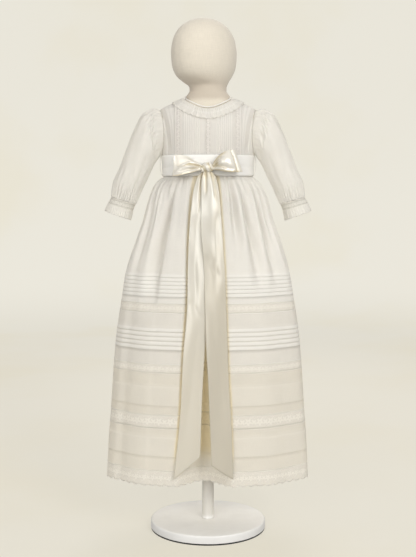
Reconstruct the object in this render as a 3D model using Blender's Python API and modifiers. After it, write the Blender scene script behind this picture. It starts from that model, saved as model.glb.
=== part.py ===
# Christening gown on a dress form stand.
# Metres, +Z up. The origin is on the floor under the pole, and the front faces -Y.

from collections import namedtuple
from math import asin, atan2, cos, exp, hypot, pi, radians, sin

import bmesh
import bpy
import numpy as np
from mathutils import Vector

# Cloth and seams
CLOTH = 0.0012
SKIRT_CLOTH = 0.0014
RIBBON = 0.0010
SEAM_GAP = 0.0004

# Stand
BASE_DIAMETER = 0.245
BASE_THICKNESS = 0.017
BASE_EDGE = 0.004
PAD_DIAMETER = 0.236
PAD_THICKNESS = 0.003
POLE_DIAMETER = 0.025

# Bodice
WAIST_HEIGHT = 0.7572
NECK_FRONT_HEIGHT = 0.8855
NECK_SIDE_HEIGHT = 0.9100
NECK_BACK_HEIGHT = 0.9000
BODICE_BANDS = 5
PINTUCKS = 8
PINTUCK_START = 0.0160
PINTUCK_PITCH = 0.0042
PINTUCK_RAISE = 0.0011
BACK_LAP = 0.010
LAP_RISE = 0.7
BUTTON_HEIGHTS = (0.806, 0.836, 0.866)
BUTTON_DIAMETER = 0.009
BUTTON_THICKNESS = 0.0024

# Collar
NECK_GAP = 0.0018
BINDING_WIDTH = 0.0036
FRILL_WIDTH = 0.0260
FRILL_WAVES = 22
FRILL_WAVE_HEIGHT = 0.0040

# Sash and bow
SASH_BOTTOM = 0.7482
SASH_TOP = 0.7920
SASH_CLEARANCE = 0.0022
KNOT_CENTRE = Vector((-0.002, -0.0774, 0.765))
KNOT_SIZE = Vector((0.032, 0.017, 0.018))

# Sleeves
SLEEVE_COLUMNS = 36
SLEEVE_GATHERS = 9
CUFF_WAVES = 12

# Skirt
FOLD_COLUMNS = 10
SKIRT_GATHERS = 16
SKIRT_WAVES = 8

# Horizontal sections of the bodice's outer side
Section = namedtuple("Section", "z half_width half_depth power")
BODY = (
    Section(0.7300, 0.0925, 0.0640, 2.20),
    Section(0.7600, 0.0925, 0.0645, 2.20),
    Section(0.7950, 0.0945, 0.0665, 2.20),
    Section(0.8300, 0.0965, 0.0665, 2.25),
    Section(0.8550, 0.0985, 0.0630, 2.30),
    Section(0.8720, 0.0995, 0.0560, 2.30),
    Section(0.8855, 0.0985, 0.0480, 2.20),
    Section(0.8980, 0.0760, 0.0420, 2.10),
    Section(0.9100, 0.0500, 0.0385, 2.00),
    Section(0.9180, 0.0440, 0.0375, 2.00),
    Section(0.9260, 0.0400, 0.0390, 2.00),
)

# The form under the waist, and its neck and head above the collar
Slice = namedtuple("Slice", "z half_width half_depth shift_x shift_y turn")
FORM_FOOT = (
    Slice(0.6200, 0.0520, 0.0340, 0, 0, 0),
    Slice(0.6240, 0.0680, 0.0450, 0, 0, 0),
    Slice(0.6360, 0.0800, 0.0520, 0, 0, 0),
    Slice(0.6700, 0.0855, 0.0565, 0, 0, 0),
    Slice(0.7200, 0.0860, 0.0582, 0, 0, 0),
    Slice(0.7600, 0.0862, 0.0586, 0, 0, 0),
)
# Between them the form follows the bodice from inside, with this much ease at
# the sides and at the front and back. The gown rests on the shoulders
Ease = namedtuple("Ease", "z side front")
FORM_EASE = (
    Ease(0.7750, 0.0026, 0.0026),
    Ease(0.8000, 0.0026, 0.0026),
    Ease(0.8300, 0.0026, 0.0026),
    Ease(0.8550, 0.0026, 0.0026),
    Ease(0.8720, 0.0026, 0.0026),
    Ease(0.8820, 0.0026, 0.0028),
    Ease(0.8900, 0.0024, 0.0032),
    Ease(0.8980, 0.0024, 0.0036),
    Ease(0.9060, 0.0022, 0.0032),
    Ease(0.9140, -0.0004, 0.0004),
    Ease(0.9240, 0.0006, 0.0006),
)
FORM_HEAD = (
    Slice(0.9340, 0.0390, 0.0390, 0.000, 0.000, 0),
    Slice(0.9420, 0.0500, 0.0450, -0.004, -0.003, 45),
    Slice(0.9560, 0.0650, 0.0530, -0.008, -0.004, 45),
    Slice(0.9760, 0.0730, 0.0585, -0.008, -0.004, 45),
    Slice(1.0000, 0.0750, 0.0600, -0.008, -0.004, 45),
    Slice(1.0260, 0.0710, 0.0570, -0.008, -0.003, 45),
    Slice(1.0480, 0.0590, 0.0480, -0.008, -0.002, 45),
    Slice(1.0630, 0.0410, 0.0340, -0.008, -0.001, 45),
    Slice(1.0710, 0.0190, 0.0160, -0.008, 0.000, 45),
)

# Front and back bodice from the shoulder to the side seam: where a line of
# the cloth starts at the waist and where it ends on the shoulder or armhole
Cut = namedtuple("Cut", "waist_x top_x top_z")
SHOULDER_CUT = (
    Cut(0.0560, 0.0560, None),
    Cut(0.0660, 0.0660, None),
    Cut(0.0720, 0.0830, None),
    Cut(0.0770, 0.0983, None),
)
ARMHOLE_CUT = (
    Cut(0.0800, 0.0948, 0.8765),
    Cut(0.0825, 0.0910, 0.8630),
    Cut(0.0850, 0.0886, 0.8450),
    Cut(0.0880, 0.0892, 0.8230),
    Cut(0.0905, 0.0917, 0.8060),
    Cut(0.0925, 0.0945, 0.7950),
)

# Sleeve sections seen from the front: outer and inner edge, half depth from
# front to back and height of the gathers
Sleeve = namedtuple("Sleeve", "out_x out_z in_x in_z depth gather")
SLEEVE = (
    Sleeve(0.1120, 0.8885, 0.0992, 0.7925, 0.0440, 0.0020),
    Sleeve(0.1340, 0.8780, 0.1035, 0.7860, 0.0500, 0.0024),
    Sleeve(0.1530, 0.8460, 0.1090, 0.7775, 0.0500, 0.0016),
    Sleeve(0.1690, 0.8080, 0.1165, 0.7635, 0.0465, 0.0010),
    Sleeve(0.1850, 0.7670, 0.1260, 0.7430, 0.0420, 0.0010),
    Sleeve(0.1985, 0.7345, 0.1380, 0.7190, 0.0365, 0.0014),
    Sleeve(0.2020, 0.7060, 0.1516, 0.6910, 0.0270, 0.0006),
)
CUFF = (
    Sleeve(0.2022, 0.7055, 0.1518, 0.6905, 0.0268, 0.0000),
    Sleeve(0.2085, 0.6945, 0.1562, 0.6790, 0.0262, 0.0000),
    Sleeve(0.2155, 0.6770, 0.1625, 0.6575, 0.0290, 0.0012),
)

# Skirt sections: the gathers and broad waves are heights of the ripple, the
# fold is the deep inverted one behind the tails
Skirt = namedtuple("Skirt", "z half_width half_depth gather wave fold_left fold_right fold_depth")
SKIRT = (
    Skirt(0.7600, 0.0915, 0.0632, 0.0000, 0.0000, -0.036, 0.022, 0.000),
    Skirt(0.7478, 0.0922, 0.0640, 0.0000, 0.0000, -0.037, 0.022, 0.000),
    Skirt(0.7400, 0.1020, 0.0700, 0.0018, 0.0000, -0.038, 0.023, 0.001),
    Skirt(0.7250, 0.1130, 0.0750, 0.0030, 0.0000, -0.040, 0.024, 0.003),
    Skirt(0.7000, 0.1245, 0.0800, 0.0036, 0.0000, -0.042, 0.026, 0.009),
    Skirt(0.6600, 0.1370, 0.0860, 0.0030, 0.0006, -0.045, 0.028, 0.019),
    Skirt(0.6100, 0.1550, 0.0915, 0.0020, 0.0012, -0.047, 0.030, 0.032),
    Skirt(0.5495, 0.1720, 0.0960, 0.0012, 0.0018, -0.050, 0.034, 0.042),
    Skirt(0.4890, 0.1820, 0.0990, 0.0005, 0.0024, -0.053, 0.038, 0.045),
    Skirt(0.4360, 0.1900, 0.1010, 0.0000, 0.0028, -0.056, 0.041, 0.046),
    Skirt(0.3720, 0.1970, 0.1030, 0.0000, 0.0032, -0.059, 0.044, 0.047),
    Skirt(0.2750, 0.2035, 0.1040, 0.0000, 0.0036, -0.064, 0.048, 0.048),
    Skirt(0.2040, 0.2090, 0.1045, 0.0000, 0.0040, -0.067, 0.050, 0.048),
    Skirt(0.1100, 0.2140, 0.1050, 0.0000, 0.0044, -0.071, 0.053, 0.048),
)

# Single deep folds in the gathers: place round the skirt in degrees from the
# front towards +X, half width, depth, and where they begin and fade
Drape = namedtuple("Drape", "angle width depth top bottom")
DRAPES = (
    Drape(-38, 7, 0.0080, 0.735, 0.520),
    Drape(25, 5, 0.0045, 0.725, 0.600),
    Drape(36, 5, 0.0060, 0.730, 0.540),
    Drape(54, 6, 0.0060, 0.730, 0.550),
    Drape(-62, 6, 0.0050, 0.730, 0.560),
    Drape(98, 7, 0.0055, 0.730, 0.530),
    Drape(-104, 7, 0.0060, 0.730, 0.520),
    Drape(136, 6, 0.0050, 0.725, 0.560),
    Drape(-143, 6, 0.0055, 0.730, 0.540),
    Drape(176, 8, 0.0070, 0.735, 0.500),
)

# Strips of the skirt from the waist to the hem, with their tucks
Strip = namedtuple("Strip", "name top bottom columns tucks tuck_top tuck_bottom tuck_raise slot")
UPPER_LEVELS = (0.7478, 0.7400, 0.7250, 0.7000, 0.6600, 0.6100)
STRIPS = (
    Strip("skirt_upper", 0.7568, 0.4905, 58, 6, 0.5495, 0.5020, 0.0012, "voile"),
    Strip("skirt_lace_1", 0.4905, 0.4720, 42, 0, 0, 0, 0, "lace"),
    Strip("skirt_middle", 0.4720, 0.3665, 42, 5, 0.4400, 0.3940, 0.0012, "voile"),
    Strip("skirt_lace_2", 0.3665, 0.3490, 42, 0, 0, 0, 0, "lace"),
    Strip("skirt_lower_1", 0.3490, 0.2630, 42, 1, 0.3215, 0.2820, 0.0014, "voile"),
    Strip("skirt_lace_3", 0.2630, 0.2345, 42, 0, 0, 0, 0, "lace"),
    Strip("skirt_lower_2", 0.2345, 0.1470, 42, 1, 0.2170, 0.1770, 0.0014, "voile"),
    Strip("hem_lace", 0.1470, 0.1150, 42, 0, 0, 0, 0, "lace"),
)

# Bow loops as they leave the knot, turn and come back: middle of the ribbon,
# its height there and how far its top edge leans along X
Loop = namedtuple("Loop", "x y z height lean")
LOOP_LEFT = (
    Loop(-0.0186, -0.0800, 0.7655, 0.013, 0.000),
    Loop(-0.0280, -0.0850, 0.7665, 0.024, 0.000),
    Loop(-0.0430, -0.0870, 0.7685, 0.036, -0.001),
    Loop(-0.0600, -0.0830, 0.7695, 0.041, -0.001),
    Loop(-0.0690, -0.0770, 0.7700, 0.042, 0.000),
    Loop(-0.0700, -0.0700, 0.7705, 0.042, 0.001),
    Loop(-0.0610, -0.0660, 0.7710, 0.042, 0.001),
    Loop(-0.0430, -0.0675, 0.7700, 0.034, 0.000),
    Loop(-0.0280, -0.0695, 0.7680, 0.022, 0.000),
    Loop(-0.0186, -0.0715, 0.7660, 0.012, 0.000),
)
LOOP_RIGHT = (
    Loop(0.0146, -0.0800, 0.7660, 0.013, 0.000),
    Loop(0.0240, -0.0865, 0.7690, 0.024, -0.002),
    Loop(0.0380, -0.0900, 0.7735, 0.036, -0.006),
    Loop(0.0530, -0.0870, 0.7770, 0.042, -0.012),
    Loop(0.0610, -0.0790, 0.7785, 0.043, -0.016),
    Loop(0.0610, -0.0700, 0.7790, 0.043, -0.016),
    Loop(0.0530, -0.0650, 0.7785, 0.042, -0.012),
    Loop(0.0380, -0.0680, 0.7745, 0.034, -0.006),
    Loop(0.0240, -0.0700, 0.7695, 0.022, -0.002),
    Loop(0.0146, -0.0715, 0.7660, 0.012, 0.000),
)

# Tails from the knot to their slanted ends
Tail = namedtuple("Tail", "left_z right_z left_x right_x y")
TAIL_LEFT = (
    Tail(0.7555, 0.7555, -0.0165, 0.0040, -0.0730),
    Tail(0.7380, 0.7380, -0.0240, 0.0055, -0.0765),
    Tail(0.7150, 0.7150, -0.0300, 0.0070, -0.0825),
    Tail(0.6640, 0.6640, -0.0356, 0.0080, -0.0905),
    Tail(0.5690, 0.5690, -0.0408, 0.0032, -0.0975),
    Tail(0.4910, 0.4910, -0.0420, 0.0020, -0.1010),
    Tail(0.3830, 0.3830, -0.0503, -0.0070, -0.1040),
    Tail(0.2750, 0.2750, -0.0557, -0.0129, -0.1060),
    Tail(0.1840, 0.2050, -0.0645, -0.0150, -0.1070),
    Tail(0.1320, 0.1790, -0.0705, -0.0160, -0.1075),
)
TAIL_RIGHT = (
    Tail(0.7555, 0.7555, -0.0120, 0.0120, -0.0785),
    Tail(0.7380, 0.7380, -0.0130, 0.0180, -0.0815),
    Tail(0.7150, 0.7150, -0.0135, 0.0225, -0.0865),
    Tail(0.6530, 0.6530, -0.0140, 0.0275, -0.0955),
    Tail(0.5690, 0.5690, -0.0087, 0.0330, -0.1015),
    Tail(0.4910, 0.4910, -0.0065, 0.0366, -0.1050),
    Tail(0.4180, 0.4180, -0.0045, 0.0392, -0.1070),
    Tail(0.3290, 0.3290, 0.0006, 0.0425, -0.1085),
    Tail(0.2390, 0.2390, 0.0041, 0.0477, -0.1100),
    Tail(0.1630, 0.1345, 0.0066, 0.0510, -0.1115),
)

# Colour, roughness and metallic value of each finish
Finish = namedtuple("Finish", "colour roughness metallic")
FINISHES = {
    "voile": Finish((0.84, 0.82, 0.76), 0.85, 0.0),
    "lace": Finish((0.80, 0.77, 0.70), 0.90, 0.0),
    "satin": Finish((0.78, 0.75, 0.66), 0.35, 0.0),
    "linen": Finish((0.66, 0.60, 0.50), 0.90, 0.0),
    "paint": Finish((0.80, 0.79, 0.75), 0.40, 0.0),
    "rubber": Finish((0.04, 0.04, 0.04), 0.80, 0.0),
    "pearl": Finish((0.85, 0.83, 0.78), 0.25, 0.0),
}


def clear_scene():
    for item in list(bpy.data.objects):
        bpy.data.objects.remove(item, do_unlink=True)


def make_finish(name):
    finish = FINISHES[name]
    material = bpy.data.materials.new(name)
    material.use_nodes = True
    shader = material.node_tree.nodes["Principled BSDF"]
    shader.inputs["Base Color"].default_value = (*finish.colour, 1.0)
    shader.inputs["Roughness"].default_value = finish.roughness
    shader.inputs["Metallic"].default_value = finish.metallic
    return material


def reader(rows, along, column):
    # Smooth reading of one table column that never overshoots its rows
    rows = sorted(rows, key=lambda row: getattr(row, along))
    place = np.array([getattr(row, along) for row in rows], dtype=float)
    value = np.array([getattr(row, column) for row in rows], dtype=float)
    step = np.diff(place)
    slope = np.diff(value) / step
    tangent = np.zeros(len(place))
    tangent[0] = slope[0]
    tangent[-1] = slope[-1]
    for i in range(1, len(place) - 1):
        if slope[i - 1] * slope[i] > 0:
            tangent[i] = 2 * slope[i - 1] * slope[i] / (slope[i - 1] + slope[i])

    def at(where):
        where = min(max(where, place[0]), place[-1])
        i = min(int(np.searchsorted(place, where, side="right")) - 1, len(step) - 1)
        t = (where - place[i]) / step[i]
        start = value[i] * (1 + 2 * t) * (1 - t) ** 2 + tangent[i] * step[i] * t * (1 - t) ** 2
        end = value[i + 1] * t * t * (3 - 2 * t) + tangent[i + 1] * step[i] * t * t * (t - 1)
        return float(start + end)

    return at


BODY_AT = {column: reader(BODY, "z", column) for column in Section._fields[1:]}
SKIRT_AT = {column: reader(SKIRT, "z", column) for column in Skirt._fields[1:]}


def mix(a, b, t):
    return a + (b - a) * t


def body_depth(x, z):
    # How far the bodice's outer side lies from the middle plane at x and z
    share = abs(x) / BODY_AT["half_width"](z)
    power = BODY_AT["power"](z)
    if share >= 1:
        return 0.0
    return BODY_AT["half_depth"](z) * (1 - share ** power) ** (1 / power)


def body_reach(angle, z):
    # Distance from the middle to the bodice's outer side, in one plan direction
    power = BODY_AT["power"](z)
    wide = (abs(sin(angle)) / BODY_AT["half_width"](z)) ** power
    deep = (abs(cos(angle)) / BODY_AT["half_depth"](z)) ** power
    return (wide + deep) ** (-1 / power)


def neck_height(angle):
    low = NECK_FRONT_HEIGHT if cos(angle) > 0 else NECK_BACK_HEIGHT
    return NECK_SIDE_HEIGHT - (NECK_SIDE_HEIGHT - low) * cos(angle) ** 2


def neck_top(x, front):
    # Height of the neck edge above the line x of the front or back bodice
    low, high = 0.0, pi / 2
    for _ in range(40):
        middle = (low + high) / 2
        angle = middle if front else pi - middle
        if body_reach(angle, neck_height(angle)) * sin(angle) < abs(x):
            low = middle
        else:
            high = middle
    return neck_height(low if front else pi - low)


def shoulder_top(x):
    # Height where the section is exactly as wide as x
    low, high = 0.8855, 0.9100
    for _ in range(40):
        middle = (low + high) / 2
        if BODY_AT["half_width"](middle) > x:
            low = middle
        else:
            high = middle
    return low


def bridge(bm, first, second, wrap, middle=0):
    # Triangles between two rows of points, the diagonals mirrored before the
    # middle column
    count = len(first)
    for i in range(count if wrap else count - 1):
        j = (i + 1) % count
        if i < middle:
            bm.faces.new((first[i], first[j], second[i]))
            bm.faces.new((first[j], second[j], second[i]))
        else:
            bm.faces.new((first[i], first[j], second[j]))
            bm.faces.new((first[i], second[j], second[i]))


def to_object(name, bm, slot, smooth=True):
    bmesh.ops.recalc_face_normals(bm, faces=bm.faces)
    mesh = bpy.data.meshes.new(name)
    bm.to_mesh(mesh)
    bm.free()
    if smooth:
        mesh.shade_smooth()
        mesh.set_sharp_from_angle(angle=radians(50))
    item = bpy.data.objects.new(name, mesh)
    return finish_object(item, slot)


def finish_object(item, slot):
    item.data.materials.clear()
    item.data.materials.append(MATERIALS[slot])
    for collection in list(item.users_collection):
        collection.objects.unlink(item)
    PARTS.objects.link(item)
    return item


def walled(name, outer, inner, wrap, slot, middle=0):
    # Cloth with an outer and an inner face: a tube of rings, or with wrap off a
    # flat panel whose side edges are closed too
    bm = bmesh.new()
    outside = [[bm.verts.new(point) for point in row] for row in outer]
    inside = [[bm.verts.new(point) for point in row] for row in inner]
    for rows in (outside, inside):
        for first, second in zip(rows, rows[1:]):
            bridge(bm, first, second, wrap, middle)
    bridge(bm, outside[0], inside[0], wrap)
    bridge(bm, outside[-1], inside[-1], wrap)
    if not wrap:
        for side in (0, -1):
            bridge(bm, [row[side] for row in outside], [row[side] for row in inside], False)
    return to_object(name, bm, slot)


def grid_normals(rows, wrap):
    # Unit normals of a grid of points, from its neighbours on each side
    points = np.array([[tuple(point) for point in row] for row in rows], dtype=float)
    if wrap:
        across = np.roll(points, -1, axis=1) - np.roll(points, 1, axis=1)
    else:
        across = np.gradient(points, axis=1)
    along = np.gradient(points, axis=0)
    normal = np.cross(across, along)
    return normal / np.linalg.norm(normal, axis=2, keepdims=True)


def moved(rows, normals, distance):
    # The same rows moved along their normals by a number or a grid of numbers
    points = np.array([[tuple(point) for point in row] for row in rows], dtype=float)
    distance = np.asarray(distance, dtype=float)
    if distance.ndim:
        distance = distance[..., None]
    return (points + normals * distance).tolist()


def bodice_columns(front):
    # Waist and top of each line of the cloth, from the middle to the side seam
    lines = []
    places = [0.0, 0.0080, PINTUCK_START] if front else [0.0, 0.012, 0.024, 0.036, 0.048]
    raises = [0.0] * len(places)
    if front:
        for i in range(PINTUCKS):
            places.append(PINTUCK_START + (i + 0.5) * PINTUCK_PITCH)
            places.append(PINTUCK_START + (i + 1.0) * PINTUCK_PITCH)
            raises += [PINTUCK_RAISE, 0.0]
    for x, raised in zip(places, raises):
        top = neck_top(x, front) if x < 0.0499 else shoulder_top(x)
        lines.append((x, x, top, raised))
    for cut in SHOULDER_CUT:
        lines.append((cut.waist_x, cut.top_x, shoulder_top(cut.top_x), 0.0))
    for cut in ARMHOLE_CUT:
        lines.append((cut.waist_x, cut.top_x, cut.top_z, 0.0))
    return lines


def body_inside(angle, z, inset):
    # The reach of a skin that lies inside the body, under the shoulders too
    return body_reach(angle, z + inset) - inset


def bodice_panel(name, lines, sides, front, lift, middle=0):
    # Lines of the cloth from the waist to its top edge, on the body's sections
    facing = -1 if front else 1
    outer, inner = [], []
    for k in range(BODICE_BANDS + 1):
        v = sin(pi / 2 * k / BODICE_BANDS)
        outer_row, inner_row = [], []
        for (waist_x, top_x, top_z, raised), side, extra in zip(lines, sides, lift):
            x = mix(waist_x, top_x, v ** 4)
            z = mix(WAIST_HEIGHT, top_z, v)
            if waist_x == ARMHOLE_CUT[-1].waist_x:
                x = BODY_AT["half_width"](z)
            angle = atan2(x, max(body_depth(x, z), SEAM_GAP / 2))
            extra *= 1 + LAP_RISE * v ** 4
            across, deep = side * sin(angle), facing * cos(angle)
            far = body_reach(angle, z) + extra + (raised if 0 < k < BODICE_BANDS else 0.0)
            near = body_inside(angle, z, CLOTH) + extra
            outer_row.append((far * across, far * deep, z))
            inner_row.append((near * across, near * deep, z))
        outer.append(outer_row)
        inner.append(inner_row)
    return walled(name, outer, inner, False, "voile", middle)


def build_bodice():
    half = bodice_columns(True)
    lines = half[::-1] + half[1:]
    sides = [-1] * len(half) + [1] * (len(half) - 1)
    bodice_panel("bodice_front", lines, sides, True, [0.0] * len(lines), len(half) - 1)
    half = bodice_columns(False)
    # The right back ends past the middle, and the left back laps over it
    lap = (BACK_LAP, BACK_LAP, neck_top(BACK_LAP, False), 0.0)
    lines = [lap] + half
    bodice_panel("bodice_back_right", lines, [-1] + [1] * len(half), False, [0.0] * len(lines))
    over = CLOTH + SEAM_GAP
    lift = [over, over, over, over * 0.9, over * 0.3] + [0.0] * (len(half) - 4)
    bodice_panel("bodice_back_left", lines, [1] + [-1] * len(half), False, lift)


def build_buttons():
    for number, height in enumerate(BUTTON_HEIGHTS, start=1):
        # The outward direction of the back's surface at this height
        rise = (body_depth(0, height + 0.004) - body_depth(0, height - 0.004)) / 0.008
        outward = Vector((0, 1, -rise)).normalized()
        surface = Vector((0, body_depth(0, height), height))
        away = 0.0021 + BUTTON_THICKNESS / 2
        bpy.ops.mesh.primitive_cylinder_add(
            vertices=12, radius=BUTTON_DIAMETER / 2, depth=BUTTON_THICKNESS,
            location=surface + outward * away)
        item = bpy.context.object
        item.name = f"button_{number}"
        item.rotation_euler = outward.to_track_quat("Z", "Y").to_euler()
        finish_object(item, "pearl")


def down_the_body(angle, start, distance):
    # Walks down the body's outer side from a height, and gives point and normal
    z = start
    step = 0.0004 if distance > 0 else -0.0004
    walked = 0.0
    here = body_reach(angle, z)
    while walked < abs(distance):
        below = body_reach(angle, z - step)
        walked += hypot(below - here, step)
        here = below
        z -= step
    slope = (body_reach(angle, z - 0.001) - body_reach(angle, z + 0.001)) / 0.002
    normal = Vector((sin(angle), -cos(angle), slope)).normalized()
    return Vector((here * sin(angle), -here * cos(angle), z)), normal


def build_collar():
    rows_outer, rows_inner = [], []
    angles = [2 * pi * i / 40 for i in range(40)]
    for distance in (-NECK_GAP, -NECK_GAP - BINDING_WIDTH):
        outer, inner = [], []
        for angle in angles:
            point, normal = down_the_body(angle, neck_height(angle), distance)
            outer.append(point + normal * 0.0008)
            inner.append(point - normal * 0.0008)
        rows_outer.append(outer)
        rows_inner.append(inner)
    walled("neck_binding", rows_outer, rows_inner, True, "voile")

    # The frill is one strip with its ends at the centre back
    count = FRILL_WAVES * 4
    outer, inner = [], []
    for share in (0.06, 0.5, 1.0):
        row_outer, row_inner = [], []
        for i in range(count + 1):
            angle = -pi + 0.012 + (2 * pi - 0.024) * i / count
            point, normal = down_the_body(angle, neck_height(angle), FRILL_WIDTH * share)
            ripple = FRILL_WAVE_HEIGHT * share * (0.5 - 0.5 * cos(2 * pi * i / 4))
            lap = 0.0020 if abs(point.x) < 0.045 and point.y > 0 else 0.0
            base = SEAM_GAP + 0.0004 + PINTUCK_RAISE + lap + ripple
            row_outer.append(point + normal * (base + 0.0010))
            row_inner.append(point + normal * base)
        outer.append(row_outer)
        inner.append(row_inner)
    walled("collar_frill", outer, inner, False, "lace")


def armhole_ring(count):
    # The bodice's armhole edge, from the shoulder by the front to the underarm
    # and back up behind
    tip = SHOULDER_CUT[-1].top_x
    cuts = [(tip, shoulder_top(tip))] + [(cut.top_x, cut.top_z) for cut in ARMHOLE_CUT]
    last_z = cuts[-1][1]
    cuts[-1] = (BODY_AT["half_width"](last_z), last_z)
    points = [Vector((x, -body_depth(x, z), z)) for x, z in cuts]
    points[0].y = points[-1].y = 0.0
    parts = count // 2 // (len(points) - 1)
    half = [a.lerp(b, i / parts) for a, b in zip(points, points[1:]) for i in range(parts)]
    behind = [Vector((p.x, -p.y, p.z)) for p in half[:0:-1]]
    ring = half + [points[-1]] + behind
    return [p + Vector((SEAM_GAP, 0, 0)) for p in ring]


def sleeve_ring(row, count, waves):
    outer = Vector((row.out_x, 0, row.out_z))
    inner = Vector((row.in_x, 0, row.in_z))
    centre = (outer + inner) / 2
    half = (outer - inner) / 2
    ring = []
    for i in range(count):
        angle = 2 * pi * i / count
        across = half * cos(angle) + Vector((0, -row.depth * sin(angle), 0))
        ripple = row.gather * cos(waves * angle)
        ring.append(centre + across * (1 + ripple / across.length))
    return ring


def tube_of_cloth(name, rings, wall, side, slot, ease=0.0):
    rows = [[Vector((side * p.x, p.y, p.z)) for p in ring] for ring in rings]
    normals = grid_normals(rows, True)
    centre = sum(rows[1], Vector()) / len(rows[1])
    if (Vector(rows[1][0]) - centre).dot(Vector(normals[1][0])) < 0:
        normals = -normals
    outer = moved(rows, normals, ease)
    inner = moved(rows, normals, ease - wall)
    return walled(name, outer, inner, True, slot)


def build_sleeves():
    head = armhole_ring(SLEEVE_COLUMNS)
    tube = [sleeve_ring(row, SLEEVE_COLUMNS, SLEEVE_GATHERS) for row in SLEEVE]
    cuff = [sleeve_ring(row, SLEEVE_COLUMNS, CUFF_WAVES) for row in CUFF]
    for side, word in ((-1, "left"), (1, "right")):
        tube_of_cloth(f"sleeve_{word}", [head] + tube, CLOTH, side, "voile")
        tube_of_cloth(f"cuff_{word}", cuff, CLOTH, side, "lace")


def skirt_ring(z, columns, out):
    # One level ring of the skirt, moved outwards in its own plane
    read = {column: at(z) for column, at in SKIRT_AT.items()}
    a, b = read["half_width"], read["half_depth"]
    left = asin(read["fold_left"] / a)
    right = asin(read["fold_right"] / a)
    rest = columns - FOLD_COLUMNS
    points = []
    for i in range(columns):
        if i <= FOLD_COLUMNS:
            f = 2 * i / FOLD_COLUMNS - 1
            angle = mix(left, right, i / FOLD_COLUMNS)
            share = 0.0
            recess = read["fold_depth"] * cos(pi / 2 * f) ** 2
        else:
            share = (i - FOLD_COLUMNS) / rest
            angle = mix(right, left + 2 * pi, share)
            recess = 0.0
        ripple = 0.0
        if share:
            uneven = 0.75 + 0.25 * sin(2 * pi * 3 * share + 1)
            ripple += read["gather"] * uneven * cos(2 * pi * SKIRT_GATHERS * share)
            calm = sin(pi * share) ** 0.5
            ripple += read["wave"] * calm * cos(2 * pi * (SKIRT_WAVES * share + 0.5))
        for drape in DRAPES:
            away = (angle - radians(drape.angle) + pi) % (2 * pi) - pi
            fade = min(max((drape.top - z) / 0.060, 0), 1) * min(max((z - drape.bottom) / 0.10, 0), 1)
            if share and fade:
                ripple -= drape.depth * fade * exp(-(away / radians(drape.width)) ** 2)
        across = Vector((sin(angle) / a, -cos(angle) / b)).normalized() * ripple
        points.append(Vector((a * sin(angle) + across.x, -b * cos(angle) + across.y + recess)))
    return [Vector((p.x, p.y, z)) for p in widen(points, out)]


def widen(points, out):
    # Moves a closed outline outwards by the same distance on every side
    count = len(points)
    result = []
    for i, point in enumerate(points):
        before = (point - points[i - 1]).normalized()
        after = (points[(i + 1) % count] - point).normalized()
        normal = Vector((before.y + after.y, -before.x - after.x)).normalized()
        lean = max(normal.dot(Vector((after.y, -after.x))), 0.6)
        result.append(point + normal * (out / lean))
    return result


def strip_levels(strip):
    # Heights of the outer rings with their raise, and of the plain inner rings
    top = strip.top - (0.0 if strip.name == "skirt_upper" else SEAM_GAP / 2)
    bottom = strip.bottom + (0.0 if strip.name == "hem_lace" else SEAM_GAP / 2)
    outer = [(top, 0.0)]
    inner = [top]
    if strip.name == "skirt_upper":
        outer += [(z, 0.0) for z in UPPER_LEVELS]
        inner += list(UPPER_LEVELS)
    if strip.tucks:
        pitch = (strip.tuck_top - strip.tuck_bottom) / strip.tucks
        edge = pitch * 0.88 if strip.tucks > 1 else pitch * 0.97
        for i in range(strip.tucks):
            z = strip.tuck_top - i * pitch
            outer += [(z, 0.0), (z - edge, strip.tuck_raise)]
        outer.append((strip.tuck_bottom, 0.0))
        inner.append((strip.tuck_top + strip.tuck_bottom) / 2)
    outer.append((bottom, 0.0))
    inner.append(bottom)
    return outer, inner


def build_skirt():
    for strip in STRIPS:
        outer, inner = strip_levels(strip)
        outer = [skirt_ring(z, strip.columns, raised) for z, raised in outer]
        inner = [skirt_ring(z, strip.columns, -SKIRT_CLOTH) for z in inner]
        walled(strip.name, outer, inner, True, strip.slot)


def build_sash():
    outer, inner = [], []
    for z in (SASH_BOTTOM, SASH_TOP):
        rings = ([], [])
        for i in range(40):
            angle = 2 * pi * i / 40
            reach = body_reach(angle, z) + SASH_CLEARANCE
            for ring, extra in zip(rings, (RIBBON + 0.0002, 0.0)):
                ring.append(((reach + extra) * sin(angle), -(reach + extra) * cos(angle), z))
        outer.append(rings[0])
        inner.append(rings[1])
    walled("sash_band", outer, inner, True, "satin")


def build_bow():
    bpy.ops.mesh.primitive_cube_add(size=1, location=KNOT_CENTRE)
    knot = bpy.context.object
    knot.name = "bow_knot"
    knot.data.transform(((KNOT_SIZE.x, 0, 0, 0), (0, KNOT_SIZE.y, 0, 0),
                         (0, 0, KNOT_SIZE.z, 0), (0, 0, 0, 1)))
    soften = knot.modifiers.new("soft edges", "BEVEL")
    soften.width = 0.0045
    soften.segments = 2
    finish_object(knot, "satin")
    for name, table in (("bow_loop_left", LOOP_LEFT), ("bow_loop_right", LOOP_RIGHT)):
        rows = []
        for row in table:
            line = []
            for k in range(4):
                v = k / 3 - 0.5
                line.append((row.x + row.lean * v, row.y, row.z + row.height * v))
            rows.append(line)
        normals = grid_normals(rows, False)
        outer, inner = moved(rows, normals, RIBBON / 2), moved(rows, normals, -RIBBON / 2)
        walled(name, outer, inner, False, "satin")
    for name, table in (("tail_left", TAIL_LEFT), ("tail_right", TAIL_RIGHT)):
        rows = []
        for row in table:
            line = []
            for k in range(4):
                v = k / 3
                cup = 0.0012 * sin(pi * v)
                line.append((mix(row.left_x, row.right_x, v), row.y - cup,
                             mix(row.left_z, row.right_z, v)))
            rows.append(line)
        normals = grid_normals(rows, False)
        outer, inner = moved(rows, normals, RIBBON / 2), moved(rows, normals, -RIBBON / 2)
        walled(name, outer, inner, False, "satin")


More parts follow.
